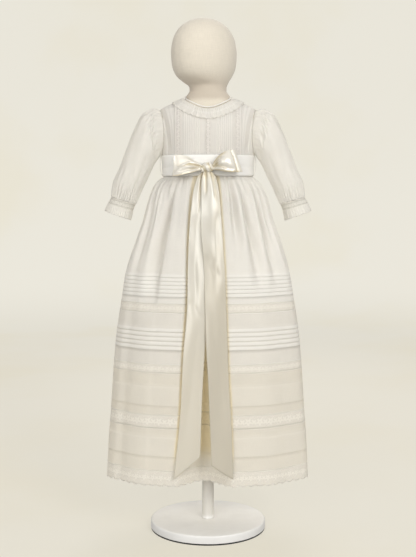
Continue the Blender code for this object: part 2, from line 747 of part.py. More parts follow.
def build_form():
    # Rings from under the waist over the shoulders and neck to the head's top
    rings = [(row.z, row.half_width, row.half_depth, 2.2, row.shift_x, row.shift_y, row.turn)
             for row in FORM_FOOT]
    for z, side, front in FORM_EASE:
        side += CLOTH
        front += CLOTH
        rings.append((z, BODY_AT["half_width"](z + side) - side,
                      BODY_AT["half_depth"](z + front) - front, BODY_AT["power"](z), 0, 0, 0))
    rings += [(row.z, row.half_width, row.half_depth, 2.0, row.shift_x, row.shift_y, row.turn)
              for row in FORM_HEAD]
    bm = bmesh.new()
    loops = []
    for z, half_width, half_depth, power, shift_x, shift_y, turn in rings:
        loop = []
        for i in range(24):
            angle = 2 * pi * i / 24
            local = angle - radians(turn)
            wide = (abs(sin(local)) / half_width) ** power
            deep = (abs(cos(local)) / half_depth) ** power
            reach = (wide + deep) ** (-1 / power)
            loop.append(bm.verts.new((shift_x + reach * sin(angle), shift_y - reach * cos(angle), z)))
        loops.append(loop)
    for first, second in zip(loops, loops[1:]):
        bridge(bm, first, second, True)
    bm.faces.new(loops[0])
    bm.faces.new(loops[-1])
    to_object("dress_form", bm, "linen")


def build_stand():
    pad_top = PAD_THICKNESS - SEAM_GAP
    base_top = PAD_THICKNESS + BASE_THICKNESS
    pole_bottom = base_top + SEAM_GAP
    pole_top = FORM_FOOT[0].z - SEAM_GAP
    turned = (
        ("foot_pad", PAD_DIAMETER, 0.0, pad_top, 40, "rubber", 0.0),
        ("stand_base", BASE_DIAMETER, PAD_THICKNESS, base_top, 40, "paint", BASE_EDGE),
        ("stand_pole", POLE_DIAMETER, pole_bottom, pole_top, 20, "paint", 0.0),
    )
    for name, diameter, bottom, top, sides, slot, edge in turned:
        bpy.ops.mesh.primitive_cylinder_add(
            vertices=sides, radius=diameter / 2, depth=top - bottom,
            location=(0, 0, (top + bottom) / 2))
        item = bpy.context.object
        item.name = name
        item.data.shade_smooth()
        item.data.set_sharp_from_angle(angle=radians(40))
        if edge:
            rounded = item.modifiers.new("rounded edge", "BEVEL")
            rounded.width = edge
            rounded.segments = 2
            rounded.limit_method = "ANGLE"
        finish_object(item, slot)


clear_scene()
PARTS = bpy.data.collections.new("Christening gown on form")
bpy.context.scene.collection.children.link(PARTS)
MATERIALS = {name: make_finish(name) for name in FINISHES}

build_stand()
build_form()
build_bodice()
build_buttons()
build_collar()
build_sleeves()
build_skirt()
build_sash()
build_bow()
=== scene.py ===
from math import cos, pi, radians, sin

import bmesh
import bpy
import numpy as np
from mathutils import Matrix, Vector


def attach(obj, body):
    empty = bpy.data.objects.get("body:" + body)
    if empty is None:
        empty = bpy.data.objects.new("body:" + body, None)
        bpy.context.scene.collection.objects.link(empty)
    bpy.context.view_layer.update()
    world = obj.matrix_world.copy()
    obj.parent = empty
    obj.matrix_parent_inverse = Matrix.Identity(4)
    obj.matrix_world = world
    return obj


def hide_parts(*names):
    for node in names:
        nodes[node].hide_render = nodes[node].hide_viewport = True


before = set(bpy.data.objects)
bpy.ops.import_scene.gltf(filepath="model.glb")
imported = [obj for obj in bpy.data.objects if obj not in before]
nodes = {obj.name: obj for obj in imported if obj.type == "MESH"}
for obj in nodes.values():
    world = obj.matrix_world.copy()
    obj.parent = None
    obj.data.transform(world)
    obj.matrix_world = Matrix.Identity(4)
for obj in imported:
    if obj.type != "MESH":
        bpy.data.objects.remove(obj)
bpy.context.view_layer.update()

print("frame loaded:", len(nodes), "nodes")

tau = 2 * pi


# tables and grids

def smoothReader(places, values):
    # a smooth line through the table's points that never overshoots them
    order = np.argsort(places)
    p, v = np.array(places, float)[order], np.array(values, float)[order]
    step = np.diff(p)
    slope = np.diff(v) / step
    tangent = np.zeros(len(p))
    tangent[0], tangent[-1] = slope[0], slope[-1]
    same = slope[:-1] * slope[1:] > 0
    tangent[1:-1][same] = (2 * slope[:-1] * slope[1:])[same] / (slope[:-1] + slope[1:])[same]

    def at(x):
        x = np.clip(x, p[0], p[-1])
        i = np.clip(np.searchsorted(p, x, side="right") - 1, 0, len(step) - 1)
        t = (x - p[i]) / step[i]
        start = v[i] * (1 + 2 * t) * (1 - t) ** 2 + tangent[i] * step[i] * t * (1 - t) ** 2
        end = v[i + 1] * t * t * (3 - 2 * t) + tangent[i + 1] * step[i] * t * t * (t - 1)
        return start + end

    return at


def readers(rows):
    # one reader for each column after the first, which is the height
    columns = list(zip(*rows))
    return [smoothReader(columns[0], column) for column in columns[1:]]


def ease(low, high, x):
    t = np.clip((np.asarray(x, float) - low) / (high - low), 0, 1)
    return t * t * (3 - 2 * t)


def bell(x, width):
    return np.exp(-(np.asarray(x, float) / width) ** 2)


def readRows(rows, at):
    # the columns of a table, whose rows are evenly spread from 0 to 1, read smoothly
    place = np.linspace(0, 1, len(rows))
    return [smoothReader(place, column)(at)[:, None] for column in zip(*rows)]


def mm(rows, plain=()):
    # rows given in millimetres as metres; the plain columns hold other things and stay
    return [tuple(n if n is None or i in plain else n / 1000 for i, n in enumerate(row)) for row in rows]


def roundAngles(count):
    return np.linspace(0, tau, count, endpoint=False)


def halfTurns(angle):
    # angles brought between minus and plus half a turn
    return (angle + pi) % tau - pi


def lathe(profile, sides):
    # rings of a half outline turned round Z
    return np.array([[(r * cos(a), r * sin(a), z) for a in roundAngles(sides)] for r, z in profile])


def crease(u, v, line, width, depth):
    # a soft trough along a straight line on the cloth, fading at its ends
    x0, y0, x1, y1 = line
    dx, dy = x1 - x0, y1 - y0
    t = ((u - x0) * dx + (v - y0) * dy) / (dx * dx + dy * dy)
    away = np.hypot(u - x0 - t * dx, v - y0 - t * dy)
    return -depth * bell(away, width) * ease(-0.15, 0.2, t) * ease(1.15, 0.7, t)


def creases(u, v, table, scaleU=1.0, scaleV=1.0, scaleWidth=1.0):
    # every (line, width, depth) of a table; the scales bring u and v to a like size
    return sum(crease(u * scaleU, v * scaleV, (x0 * scaleU, y0 * scaleV, x1 * scaleU, y1 * scaleV),
                      width * scaleWidth, depth)
               for (x0, y0, x1, y1), width, depth in table)


def normalsOf(points, wrap):
    across = np.roll(points, -1, 1) - np.roll(points, 1, 1) if wrap else np.gradient(points, axis=1)
    normal = np.cross(across, np.gradient(points, axis=0))
    return normal / np.maximum(np.linalg.norm(normal, axis=2, keepdims=True), 1e-9)


def facingOut(points, wrap, inside):
    # the grid's normals, and whether they point away from what is inside it
    normal = normalsOf(points, wrap)
    centre = points * (0, 0, 1) if inside is None else inside
    return normal, ((points - centre) * normal).sum() >= 0


def pushed(points, wrap, amount, inside=None):
    # the grid moved outwards along its own normals
    normal, outwards = facingOut(points, wrap, inside)
    return points + (normal if outwards else -normal) * np.broadcast_to(amount, points.shape[:2])[..., None]


def linked(name, data):
    made = bpy.data.objects.new(name, data)
    bpy.context.scene.collection.objects.link(made)
    return made


def marked(mesh, name, values):
    mesh.attributes.new(name, "FLOAT", "POINT").data.foreach_set("value", values)


def reshaped(piece, job):
    # does a job on the piece's mesh, opened for editing
    bm = bmesh.new()
    bm.from_mesh(piece.data)
    bm.verts.ensure_lookup_table()
    job(bm)
    bm.to_mesh(piece.data)
    bm.free()


def gridPiece(name, points, uv, material, wrap=False, layersAndPaintedShade=None, inside=None, wall=0.0005, offset=-1.0):
    # one piece of cloth from a grid of points, with its own UV map in metres
    rows, cols = points.shape[:2]
    span = cols if wrap else cols - 1
    r, c = np.meshgrid(np.arange(rows - 1), np.arange(span), indexing="ij")
    corners = [(r, c), (r, c + 1), (r + 1, c + 1), (r + 1, c)]
    if not facingOut(points, wrap, inside)[1]:
        corners = corners[::-1]
    quads = np.stack([a * cols + b % cols for a, b in corners], axis=-1).reshape(-1, 4)
    mesh = bpy.data.meshes.new(name)
    mesh.from_pydata(points.reshape(-1, 3).tolist(), [], quads.tolist())
    corner = np.stack([uv[a, b] for a, b in corners], axis=-2).reshape(-1, 2)
    mesh.uv_layers.new(name="cloth").data.foreach_set("uv", corner.ravel())
    marked(mesh, "layersAndPaintedShade", np.broadcast_to(1.0 if layersAndPaintedShade is None else layersAndPaintedShade, (rows, cols)).ravel())
    mesh.shade_smooth()
    mesh.materials.append(material)
    piece = linked(name, mesh)
    if wall:
        shell = piece.modifiers.new("cloth thickness", "SOLIDIFY")
        shell.thickness = wall
        shell.offset = offset
    return piece


def flatUv(points, wrap, repeat=None):
    # lengths along the middle row and down the middle column
    middle = points[len(points) // 2]
    ring = np.concatenate([middle, middle[:1]]) if wrap else middle
    along = np.concatenate([[0], np.cumsum(np.linalg.norm(np.diff(ring, axis=0), axis=1))])
    if repeat:
        along *= max(round(along[-1] / repeat), 1) * repeat / along[-1]
    step = np.linalg.norm(np.diff(points[:, points.shape[1] // 2], axis=0), axis=1)
    down = np.concatenate([[0], np.cumsum(step)])
    return np.stack(np.meshgrid(along, down), axis=-1)


def dress(piece, slotName, *replaced):
    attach(piece, "root")
    if replaced:
        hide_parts(*replaced)
    return piece


# materials

class Wire:
    # a socket that can be used in sums
    def __init__(self, cloth, socket):
        self.cloth = cloth
        self.socket = socket

    def maths(self, operation, *values):
        return self.cloth.node("ShaderNodeMath", {"operation": operation}, dict(enumerate((self,) + values)))

    __add__ = __radd__ = lambda self, other: self.maths("ADD", other)
    __mul__ = __rmul__ = lambda self, other: self.maths("MULTIPLY", other)
    __sub__ = lambda self, other: self.maths("SUBTRACT", other)
    __truediv__ = lambda self, other: self.maths("DIVIDE", other)
    most = lambda self, other: self.maths("MAXIMUM", other)
    least = lambda self, other: self.maths("MINIMUM", other)
    sine = lambda self: self.maths("SINE")
    size = lambda self: self.maths("ABSOLUTE")

    def __rsub__(self, other):
        return self.cloth.node("ShaderNodeMath", {"operation": "SUBTRACT"}, {0: other, 1: self})

    def repeat(self, period):
        # distance from the middle of the repeat it is in
        return ((self / period).maths("FRACT") - 0.5) * period

    def step(self, low, high):
        return self.cloth.node("ShaderNodeMapRange", {"interpolation_type": "SMOOTHSTEP"},
                               {"Value": self, "From Min": low, "From Max": high})


class Finish:
    # one material built around a Principled shader
    def __init__(self, name, **fixed):
        self.material = bpy.data.materials.new(name)
        self.material.use_nodes = True
        self.tree = self.material.node_tree
        self.shader = self.tree.nodes["Principled BSDF"]
        for socket, value in fixed.items():
            self.shader.inputs[socket.replace("_", " ")].default_value = value

    def node(self, kind, settings=None, inputs=None, out=0):
        made = self.tree.nodes.new(kind)
        for key, value in (settings or {}).items():
            setattr(made, key, value)
        for key, value in (inputs or {}).items():
            self.feed(made.inputs[key], value)
        return Wire(self, made.outputs[out])

    def feed(self, socket, value):
        if isinstance(value, Wire):
            self.tree.links.new(value.socket, socket)
        else:
            socket.default_value = value

    def place(self):
        return self.node("ShaderNodeTexCoord", out="Object")

    def split(self, vector):
        return [self.node("ShaderNodeSeparateXYZ", inputs={0: vector}, out=i) for i in range(3)]

    def weft(self):
        # the cloth's own UV map and its two lengths
        uv = self.node("ShaderNodeUVMap", {"uv_map": "cloth"})
        return uv, *self.split(uv)[:2]

    def attribute(self, name):
        return self.node("ShaderNodeAttribute", {"attribute_name": name}, out="Fac")

    def noise(self, scale, detail=3.0, vector=None, stretch=None):
        vector = vector or self.place()
        if stretch:
            vector = self.node("ShaderNodeVectorMath", {"operation": "MULTIPLY"}, {0: vector, 1: stretch})
        return self.node("ShaderNodeTexNoise", inputs={"Vector": vector, "Scale": scale, "Detail": detail})

    def blend(self, share, first, second):
        made = self.tree.nodes.new("ShaderNodeMix")
        made.data_type = "RGBA"
        self.feed(made.inputs["Factor"], share)
        for key, colour in ((6, first), (7, second)):
            self.feed(made.inputs[key], colour if isinstance(colour, Wire) else (*colour, 1))
        return Wire(self, made.outputs[2])

    def done(self, colour, bump=None, depth=0.0004, strength=0.5, through=0.0, **varying):
        self.feed(self.shader.inputs["Base Color"], colour if isinstance(colour, Wire) else (*colour, 1))
        if through:
            # thin cloth also scatters light from its other side
            glow = self.node("ShaderNodeBsdfTranslucent", inputs={"Color": colour})
            both = self.node("ShaderNodeMixShader", inputs={0: through, 2: glow})
            self.tree.links.new(self.shader.outputs[0], both.socket.node.inputs[1])
            out = self.tree.nodes["Material Output"]
            self.tree.links.new(both.socket, out.inputs[0])
        for socket, value in varying.items():
            self.feed(self.shader.inputs[socket], value)
        if bump:
            normal = self.node("ShaderNodeBump",
                               inputs={"Height": bump, "Strength": strength, "Distance": depth})
            self.feed(self.shader.inputs["Normal"], normal)
        return self.material


clothColours = {
    # single cloth and doubled cloth of each part
    "bodice": ((0.903, 0.884, 0.848), (0.950, 0.934, 0.900)),
    "sleeve": ((0.925, 0.916, 0.896), (0.940, 0.932, 0.910)),
    "upper": ((0.928, 0.914, 0.882), (0.945, 0.933, 0.904)),
    "middle": ((0.896, 0.876, 0.834), (0.940, 0.926, 0.894)),
    "lower": ((0.908, 0.884, 0.830), (0.920, 0.898, 0.848)),
    "lace": ((0.912, 0.888, 0.836), (0.946, 0.924, 0.872)),
    "frill": ((0.932, 0.912, 0.868), (0.955, 0.940, 0.902)),
    "bodiceLace": ((0.865, 0.838, 0.800), (0.935, 0.912, 0.875)),
    "cuff": ((0.805, 0.788, 0.740), (0.895, 0.878, 0.834)),
    "satin": ((0.885, 0.850, 0.768), (0.885, 0.850, 0.768)),
    # painted shade: where satin folds on itself its colour deepens to gold, as shade falls in the creases
    "satinPaintedFoldShade": (0.640, 0.545, 0.345),
    # voile and lace beside satin, in the warm light that it throws back
    "besideSatin": (0.985, 0.925, 0.775),
    # painted light: the sash is the ribbon satin made near white, lighter than the bow
    "sash": ((0.985, 0.972, 0.935), (0.985, 0.972, 0.935)),
    # painted shade: the tails, darker than the bow's satin, lie in their own shade towards the floor, the
    # right tail more than the left
    "tailLeft": ((0.815, 0.790, 0.718), (0.830, 0.788, 0.684)),
    "tailRight": ((0.800, 0.775, 0.702), (0.740, 0.693, 0.584)),
    "linen": (0.725, 0.665, 0.560),
}


def voileFinish(name, sheer, colours, through=0.42):
    # fine plain weave: single cloth lets light through, tucks and seams are denser
    f = Finish(name, Roughness=0.82, Sheen_Weight=0.15, Specular_IOR_Level=0.2)
    uv, u, v = f.weft()
    layersAndPaintedShade = f.attribute("layersAndPaintedShade")
    dense = layersAndPaintedShade.step(1.0, 2.6)
    thread = 0.00042
    weave = (u * (tau / thread)).sine() * (v * (tau / thread)).sine()
    slub = f.noise(1400, 2, uv, (1.0, 0.03, 1.0)) + f.noise(1400, 2, uv, (0.03, 1.0, 1.0))
    cloud = f.noise(22, 3)
    single = f.blend(cloud.step(0.3, 0.7), colours[0], [c * 1.025 for c in colours[0]])
    colour = f.blend(dense, single, colours[1])
    # painted warm light thrown back by the satin, beside the tails
    colour = f.blend(f.attribute("warm"), colour, clothColours["besideSatin"])
    alpha = (dense * (1 - sheer) + sheer) + weave * 0.05 + (slub - 1.0) * 0.12
    alpha = alpha.most(0.0).least(1.0) * layersAndPaintedShade.step(0.0, 0.9)
    return f.done(colour, weave * 0.5 + slub, 0.00012, 0.35, through, Alpha=alpha)


def laceFinish(name, width, period, open, edging=False, colours=clothColours["lace"]):
    # bobbin net with a running row of five-petalled flowers, leaves and a corded edge
    f = Finish(name, Roughness=0.85, Sheen_Weight=0.1, Specular_IOR_Level=0.2)
    uv, u, v = f.weft()
    cells = f.node("ShaderNodeTexVoronoi", {"feature": "DISTANCE_TO_EDGE", "voronoi_dimensions": "2D"},
                   {"Vector": uv, "Scale": 1 / 0.0014, "Randomness": 0.45})
    net = 1 - cells.step(0.10, 0.24)
    x, y = u.repeat(period), v - width * 0.5
    r = (x * x + y * y).maths("SQRT")
    turn = y.maths("ARCTAN2", x)
    flowerSize = min(width, period) * 0.34
    petal = ((turn * 5).sine() * 0.24 + 0.76) * flowerSize
    flower = (petal - r).step(-0.0002, 0.0004) * (r - flowerSize * 0.16).step(-0.0002, 0.0003)
    x2 = (u + period * 0.5).repeat(period)
    long, short = flowerSize * 0.78, flowerSize * 0.26
    leaf = None
    for side in (1, -1):
        a, b = (x2 + y * side) * 0.7071, (x2 - y * side) * 0.7071
        one = 1 - ((a / long) * (a / long) + (b / short) * (b / short)).step(0.75, 1.05)
        leaf = one if leaf is None else leaf.most(one)
    vine = 1 - ((u * (tau / period)).sine() * (width * 0.30) - y).size().step(0.0003, 0.0006)
    cord = 1 - (v - 0.0011).step(0.0, 0.0004)
    if not edging:
        cord = cord.most((v - (width - 0.0011)).step(-0.0004, 0.0))
    holes = (u.repeat(0.0024) * u.repeat(0.0024)
             + (v - 0.0021) * (v - 0.0021)).maths("SQRT").step(0.0004, 0.0007)
    raised = flower.most(leaf).most(vine).most(cord)
    solid = raised.most(net) * holes
    colour = f.blend(raised, *colours)
    # painted warm light thrown back by the satin, beside the tails
    colour = f.blend(f.attribute("warm"), colour, clothColours["besideSatin"])
    alpha = solid * (1 - open) + open
    return f.done(colour, raised + net * 0.25, 0.0003, 0.35, 0.42, Alpha=alpha)


def satinFinish(name, colours, fade=(0.36, 0.72), through=0.16, gloss=0.16, rough=0.29):
    # ribbon satin: smooth floats along the length over a fine plain weave
    f = Finish(name, Metallic=gloss, Specular_IOR_Level=0.8, Coat_Weight=gloss * 2, Coat_Roughness=rough)
    uv, u, v = f.weft()
    floats = f.noise(2600, 2, uv, (1.0, 0.02, 1.0))
    rows = (u * (tau / 0.0004)).sine()
    cloud = f.noise(18, 2)
    height = f.split(f.place())[2]
    # painted shade: below the fade heights the colour darkens towards the bottom; only the tails have two
    # colours
    flat = f.blend((height + cloud * 0.10).step(*fade), colours[1], colours[0])
    # painted shade: gold in the creases, troughs and tucked ends, from the shade the satin pieces store in
    # their attribute
    colour = f.blend((f.attribute("layersAndPaintedShade") - 1.0).most(0.0).least(1.0), flat, clothColours["satinPaintedFoldShade"])
    return f.done(colour, rows, 0.00001, 0.05, through,
                  Roughness=cloud * 0.06 + floats * 0.012 + (rough - 0.03))


def linenFinish():
    f = Finish("linen cover", Roughness=0.88, Sheen_Weight=0.25, Specular_IOR_Level=0.15)
    uv, u, v = f.weft()
    warp, weftRow = (u * (tau / 0.0008)).sine(), (v * (tau / 0.0008)).sine()
    slub = f.noise(900, 3, uv, (1.0, 0.06, 1.0)) + f.noise(900, 3, uv, (0.06, 1.0, 1.0))
    base = clothColours["linen"]
    colour = f.blend((slub * 0.8).step(0.55, 1.05), [c * 0.96 for c in base], [c * 1.04 for c in base])
    # painted shade: the linen a little darker round the neck, as in the bonnet's shadow
    height = f.split(f.place())[2]
    neck = height.step(0.900, 0.912) * (1 - height.step(0.930, 0.965))
    colour = f.blend(neck * 0.75, colour, [base[0] * 0.80, base[1] * 0.76, base[2] * 0.74])
    return f.done(colour, warp * weftRow * 0.5 + slub, 0.0002, 0.3)


def paintFinish():
    f = Finish("white paint", Specular_IOR_Level=0.5, Coat_Weight=0.15, Coat_Roughness=0.3)
    peel = f.noise(260, 2)
    dust = f.noise(30, 4)
    colour = f.blend(dust.step(0.35, 0.75), (0.835, 0.824, 0.795), (0.800, 0.787, 0.757))
    # painted shade: the pole darker than the base, as in the skirt's shadow
    height = f.split(f.place())[2]
    colour = f.blend(height.step(0.022, 0.030), colour, (0.690, 0.668, 0.618))
    return f.done(colour, peel, 0.0002, 0.15, Roughness=dust * 0.12 + 0.36)


def rubberFinish():
    f = Finish("black rubber", Specular_IOR_Level=0.3)
    grain = f.noise(900, 3)
    return f.done(f.blend(grain, (0.018, 0.018, 0.017), (0.040, 0.039, 0.037)), grain, 0.0003, 0.4,
                  Roughness=grain * 0.2 + 0.7)


def pearlFinish():
    f = Finish("pearl shell", Specular_IOR_Level=0.6, Coat_Weight=0.6, Coat_Roughness=0.12)
    bands = f.noise(260, 2, None, (1.0, 1.0, 3.0))
    colour = f.blend(bands.step(0.4, 0.6), (0.84, 0.80, 0.73), (0.80, 0.81, 0.79))
    return f.done(colour, bands, 0.0001, 0.2, Roughness=bands * 0.15 + 0.2)


def threadFinish():
    f = Finish("cotton thread", Roughness=0.7, Sheen_Weight=0.2, Specular_IOR_Level=0.25)
    twist = f.noise(2600, 2)
    return f.done(f.blend(twist, (0.80, 0.77, 0.70), (0.90, 0.88, 0.82)), twist, 0.0001, 0.5)


finishes = {
    "bodice": voileFinish("voile bodice", 0.90, clothColours["bodice"]),
    "sleeve": voileFinish("voile sleeve", 0.84, clothColours["sleeve"], 0.60),
    "skirt": voileFinish("voile skirt", 0.90, clothColours["upper"]),
    "middleSkirt": voileFinish("voile skirt middle", 0.90, clothColours["middle"]),
    "lowerSkirt": voileFinish("voile lower skirt", 0.85, clothColours["lower"], 0.50),
    "insertion": laceFinish("lace insertion", 0.0175, 0.0160, 0.72),
    "wideInsertion": laceFinish("wide lace insertion", 0.0285, 0.0240, 0.72),
    "bodiceLace": laceFinish("bodice lace", 0.0115, 0.0110, 0.60, colours=clothColours["bodiceLace"]),
    "hemLace": laceFinish("hem lace", 0.0300, 0.0180, 0.66, True),
    "frillLace": laceFinish("frill lace", 0.0240, 0.0120, 0.90, True, colours=clothColours["frill"]),
    "cuffLace": laceFinish("cuff lace", 0.0150, 0.0120, 0.50, colours=clothColours["cuff"]),
    "satin": satinFinish("ribbon satin", clothColours["satin"]),
    "sash": satinFinish("ribbon satin sash", clothColours["sash"], gloss=0.02, rough=0.42),
    "tailLeft": satinFinish("ribbon satin left tail", clothColours["tailLeft"], through=0.30, gloss=0.12,
                            rough=0.32),
    "tailRight": satinFinish("ribbon satin right tail", clothColours["tailRight"], (0.56, 0.74), 0.30, 0.12,
                             0.32),
    "linen": linenFinish(),
    "paint": paintFinish(),
    "rubber": rubberFinish(),
    "pearl": pearlFinish(),
    "thread": threadFinish(),
}
print("finishes made:", len(finishes))


# rows of stitches and small loops that follow an edge

def trailTree(name, loop):
    # puts a stitch, or with loop a small thread ring, at every pitch along a line of edges
    tree = bpy.data.node_groups.new(name, "GeometryNodeTree")
    face = tree.interface
    face.new_socket("Geometry", in_out="INPUT", socket_type="NodeSocketGeometry")
    sizes = {"Pitch": 0.002, "Length": 0.0016, "Thickness": 0.0004, "Lean": 0.6}
    for word, value in sizes.items():
        face.new_socket(word, in_out="INPUT", socket_type="NodeSocketFloat").default_value = value
    face.new_socket("Thread", in_out="INPUT", socket_type="NodeSocketMaterial")
    face.new_socket("Geometry", in_out="OUTPUT", socket_type="NodeSocketGeometry")

    def add(kind, links=None, **settings):
        made = tree.nodes.new(kind)
        for key, value in settings.items():
            setattr(made, key, value)
        for key, value in (links or {}).items():
            if isinstance(value, bpy.types.NodeSocket):
                tree.links.new(value, made.inputs[key])
            else:
                made.inputs[key].default_value = value
        return made

    given = add("NodeGroupInput").outputs
    line = add("GeometryNodeMeshToCurve", {"Mesh": given["Geometry"]})
    dots = add("GeometryNodeCurveToPoints", {"Curve": line.outputs[0], "Length": given["Pitch"]},
               mode="LENGTH")
    if loop:
        ring = add("GeometryNodeCurvePrimitiveCircle", {"Resolution": 7, "Radius": 1.0})
        section = add("GeometryNodeCurvePrimitiveCircle", {"Resolution": 4, "Radius": 0.22})
        shape = add("GeometryNodeCurveToMesh",
                    {"Curve": ring.outputs[0], "Profile Curve": section.outputs[0]})
        size = add("ShaderNodeCombineXYZ",
                   {"X": given["Thickness"], "Y": given["Length"], "Z": given["Length"]})
    else:
        shape = add("GeometryNodeMeshUVSphere", {"Segments": 5, "Rings": 4, "Radius": 0.5})
        size = add("ShaderNodeCombineXYZ",
                   {"X": given["Thickness"], "Y": given["Thickness"], "Z": given["Length"]})
    tilt = add("ShaderNodeCombineXYZ", {"X": given["Lean"]})
    turn = add("FunctionNodeRotateRotation",
               {"Rotation": dots.outputs["Rotation"], "Rotate By": tilt.outputs[0]},
               rotation_space="LOCAL")
    put = add("GeometryNodeInstanceOnPoints", {"Points": dots.outputs[0], "Instance": shape.outputs[0],
                                               "Rotation": turn.outputs[0], "Scale": size.outputs[0]})
    real = add("GeometryNodeRealizeInstances", {"Geometry": put.outputs[0]})
    smooth = add("GeometryNodeSetShadeSmooth", {"Geometry": real.outputs[0]})
    coat = add("GeometryNodeSetMaterial", {"Geometry": smooth.outputs[0], "Material": given["Thread"]})
    out = add("NodeGroupOutput")
    tree.links.new(coat.outputs[0], out.inputs[0])
    return tree


trails = {"stitch": trailTree("stitches along a line", False),
          "picot": trailTree("picots along a line", True)}


def trailPiece(name, kind, lines, **sizes):
    # lines are (points, closed); the result is one plain mesh of lace thread
    mesh = bpy.data.meshes.new("line")
    points, edges = [], []
    for line, closed in lines:
        first, count = len(points), len(line)
        points += [tuple(p) for p in line]
        edges += [(first + i, first + (i + 1) % count) for i in range(count if closed else count - 1)]
    mesh.from_pydata(points, edges, [])
    item = linked("line", mesh)
    tree = trails[kind]
    modifier = item.modifiers.new("trail", "NODES")
    modifier.node_group = tree
    for socket in tree.interface.items_tree:
        if socket.in_out == "INPUT" and socket.name in sizes:
            modifier[socket.identifier] = sizes[socket.name]
        if socket.name == "Thread":
            modifier[socket.identifier] = finishes["thread"]
    graph = bpy.context.evaluated_depsgraph_get()
    result = bpy.data.meshes.new_from_object(item.evaluated_get(graph))
    bpy.data.objects.remove(item)
    result.name = name
    return dress(linked(name, result), "lace")


# stand

stand = {
    "baseRadius": 0.1225, "baseBottom": 0.0030, "baseTop": 0.0200, "edge": 0.0040,
    "padRadius": 0.1216, "poleRadius": 0.0125, "poleTop": 0.6196, "collar": 0.0006, "sides": 144,
}


def turned(name, profile, sides, material, slotName, node):
    # a turned solid from its half outline, listed from the bottom middle to the top middle
    rings = lathe(profile, sides)
    middle = np.array([[[0, 0, (profile[0][1] + profile[-1][1]) / 2]]])
    piece = gridPiece(name, rings, flatUv(rings, True), material, True, inside=middle, wall=0)

    def closeFlat(bm):
        for row, flip in ((0, True), (len(profile) - 1, False)):
            loop = [bm.verts[row * sides + i] for i in range(sides)]
            bm.faces.new(loop[::-1] if flip else loop).smooth = False

    reshaped(piece, closeFlat)
    piece.data.set_sharp_from_angle(angle=radians(35))
    return dress(piece, slotName, node)


def roundedEdge(radius, z, size, top):
    # quarter round from the side to a flat face
    turns = [i / 6 * pi / 2 for i in range(7)]
    if top:
        return [(radius - size + size * cos(a), z - size + size * sin(a)) for a in turns]
    return [(radius - size + size * sin(a), z + size - size * cos(a)) for a in turns]


def buildStand(s):
    bottom, top = s["baseBottom"], s["baseTop"]
    outline = (roundedEdge(s["baseRadius"], bottom, 0.0015, False)
               + roundedEdge(s["baseRadius"], top, s["edge"], True))
    turned("standBase", [(0.06, bottom)] + outline + [(0.04, top)], s["sides"], finishes["paint"], "paint",
           "stand_base")
    thick, edge = 0.0026, 0.0006
    foot = roundedEdge(s["padRadius"], 0.0, edge, False) + roundedEdge(s["padRadius"], thick, edge, True)
    turned("footPad", [(0.05, 0.0)] + foot + [(0.05, thick)], s["sides"], finishes["rubber"], "rubber",
           "foot_pad")
    r, c = s["poleRadius"], s["collar"]
    pole = [(r * 0.6, top + 0.0004), (r + c, top + 0.0004), (r + c, top + 0.0024), (r, top + 0.0034)]
    pole += [(r, z) for z in np.linspace(top + 0.02, s["poleTop"] - 0.001, 12)]
    pole += [(r - 0.001, s["poleTop"]), (r * 0.6, s["poleTop"])]
    turned("standPole", pole, 64, finishes["paint"], "paint", "stand_pole")


buildStand(stand)
print("stand built")


# body under the gown

body = {
    # height, half width, half depth, roundness of the bodice's outer side
    "rows": mm([
        (730, 92.5, 64, 2.2), (760, 92.5, 64.5, 2.2), (795, 94.5, 66.5, 2.2), (830, 96.5, 66.5, 2.25),
        (855, 98.5, 63, 2.3), (872, 99.5, 56, 2.3), (885.5, 98.5, 48, 2.2), (898, 76, 42, 2.1),
        (910, 50, 38.5, 2), (918, 44, 37.5, 2), (926, 40, 39, 2),
    ], (3,)),
    "neckFront": 0.8855, "neckSide": 0.9100, "neckBack": 0.9000,
}
bodyWidth, bodyDepth, bodyPower = readers(body["rows"])


def bodyReach(angle, z):
    power = bodyPower(z)
    wide = (abs(np.sin(angle)) / bodyWidth(z)) ** power
    deep = (abs(np.cos(angle)) / bodyDepth(z)) ** power
    return (wide + deep) ** (-1 / power)


def depthAt(x, z):
    power = bodyPower(z)
    share = np.clip(abs(x) / bodyWidth(z), 0, 1)
    return bodyDepth(z) * (1 - share ** power) ** (1 / power)


def neckHeight(angle):
    low = np.where(np.cos(angle) > 0, body["neckFront"], body["neckBack"])
    return body["neckSide"] - (body["neckSide"] - low) * np.cos(angle) ** 2


formCloth = {
    # height, half width, half depth, roundness, shift in X and Y, turn in degrees
    "rows": mm([
        (620.2, 52, 34, 2.2, 0, 0, 0), (624, 68, 45, 2.2, 0, 0, 0), (636, 80, 52, 2.2, 0, 0, 0),
        (670, 85.5, 56.5, 2.2, 0, 0, 0), (720, 86, 58.2, 2.2, 0, 0, 0), (760, 86.2, 58.6, 2.2, 0, 0, 0),
        (934, 38.8, 38.8, 2, 0, 0, 0), (942, 49, 44, 2, -4, -3, 45), (956, 64.5, 52.5, 2, -8, -4, 45),
        (976, 73, 58.5, 2, -8, -4, 45), (1000, 75, 60, 2, -8, -4, 45), (1026, 71, 57, 2, -8, -3, 45),
        (1048, 59, 48, 2, -8, -2, 45), (1062.5, 41.5, 34.5, 2, -8, -1, 45), (1070, 24, 20, 2, -8, 0, 45),
        (1072.5, 10, 8.5, 2, -8, 0, 45),
    ], (3, 6)),
    # between them it follows the bodice from inside: height, ease at the sides, ease in front
    "ease": mm([
        (775, 2.6, 2.6), (830, 2.6, 2.6), (872, 2.6, 2.6), (882, 2.6, 2.8), (890, 2.4, 3.2),
        (898, 2.4, 3.6), (906, 2.2, 3.2), (914, -0.4, 0.4), (924, 0.6, 0.6),
    ]),
    "cloth": 0.0012, "columns": 96, "rings": 150, "seamDepth": 0.0006,
}


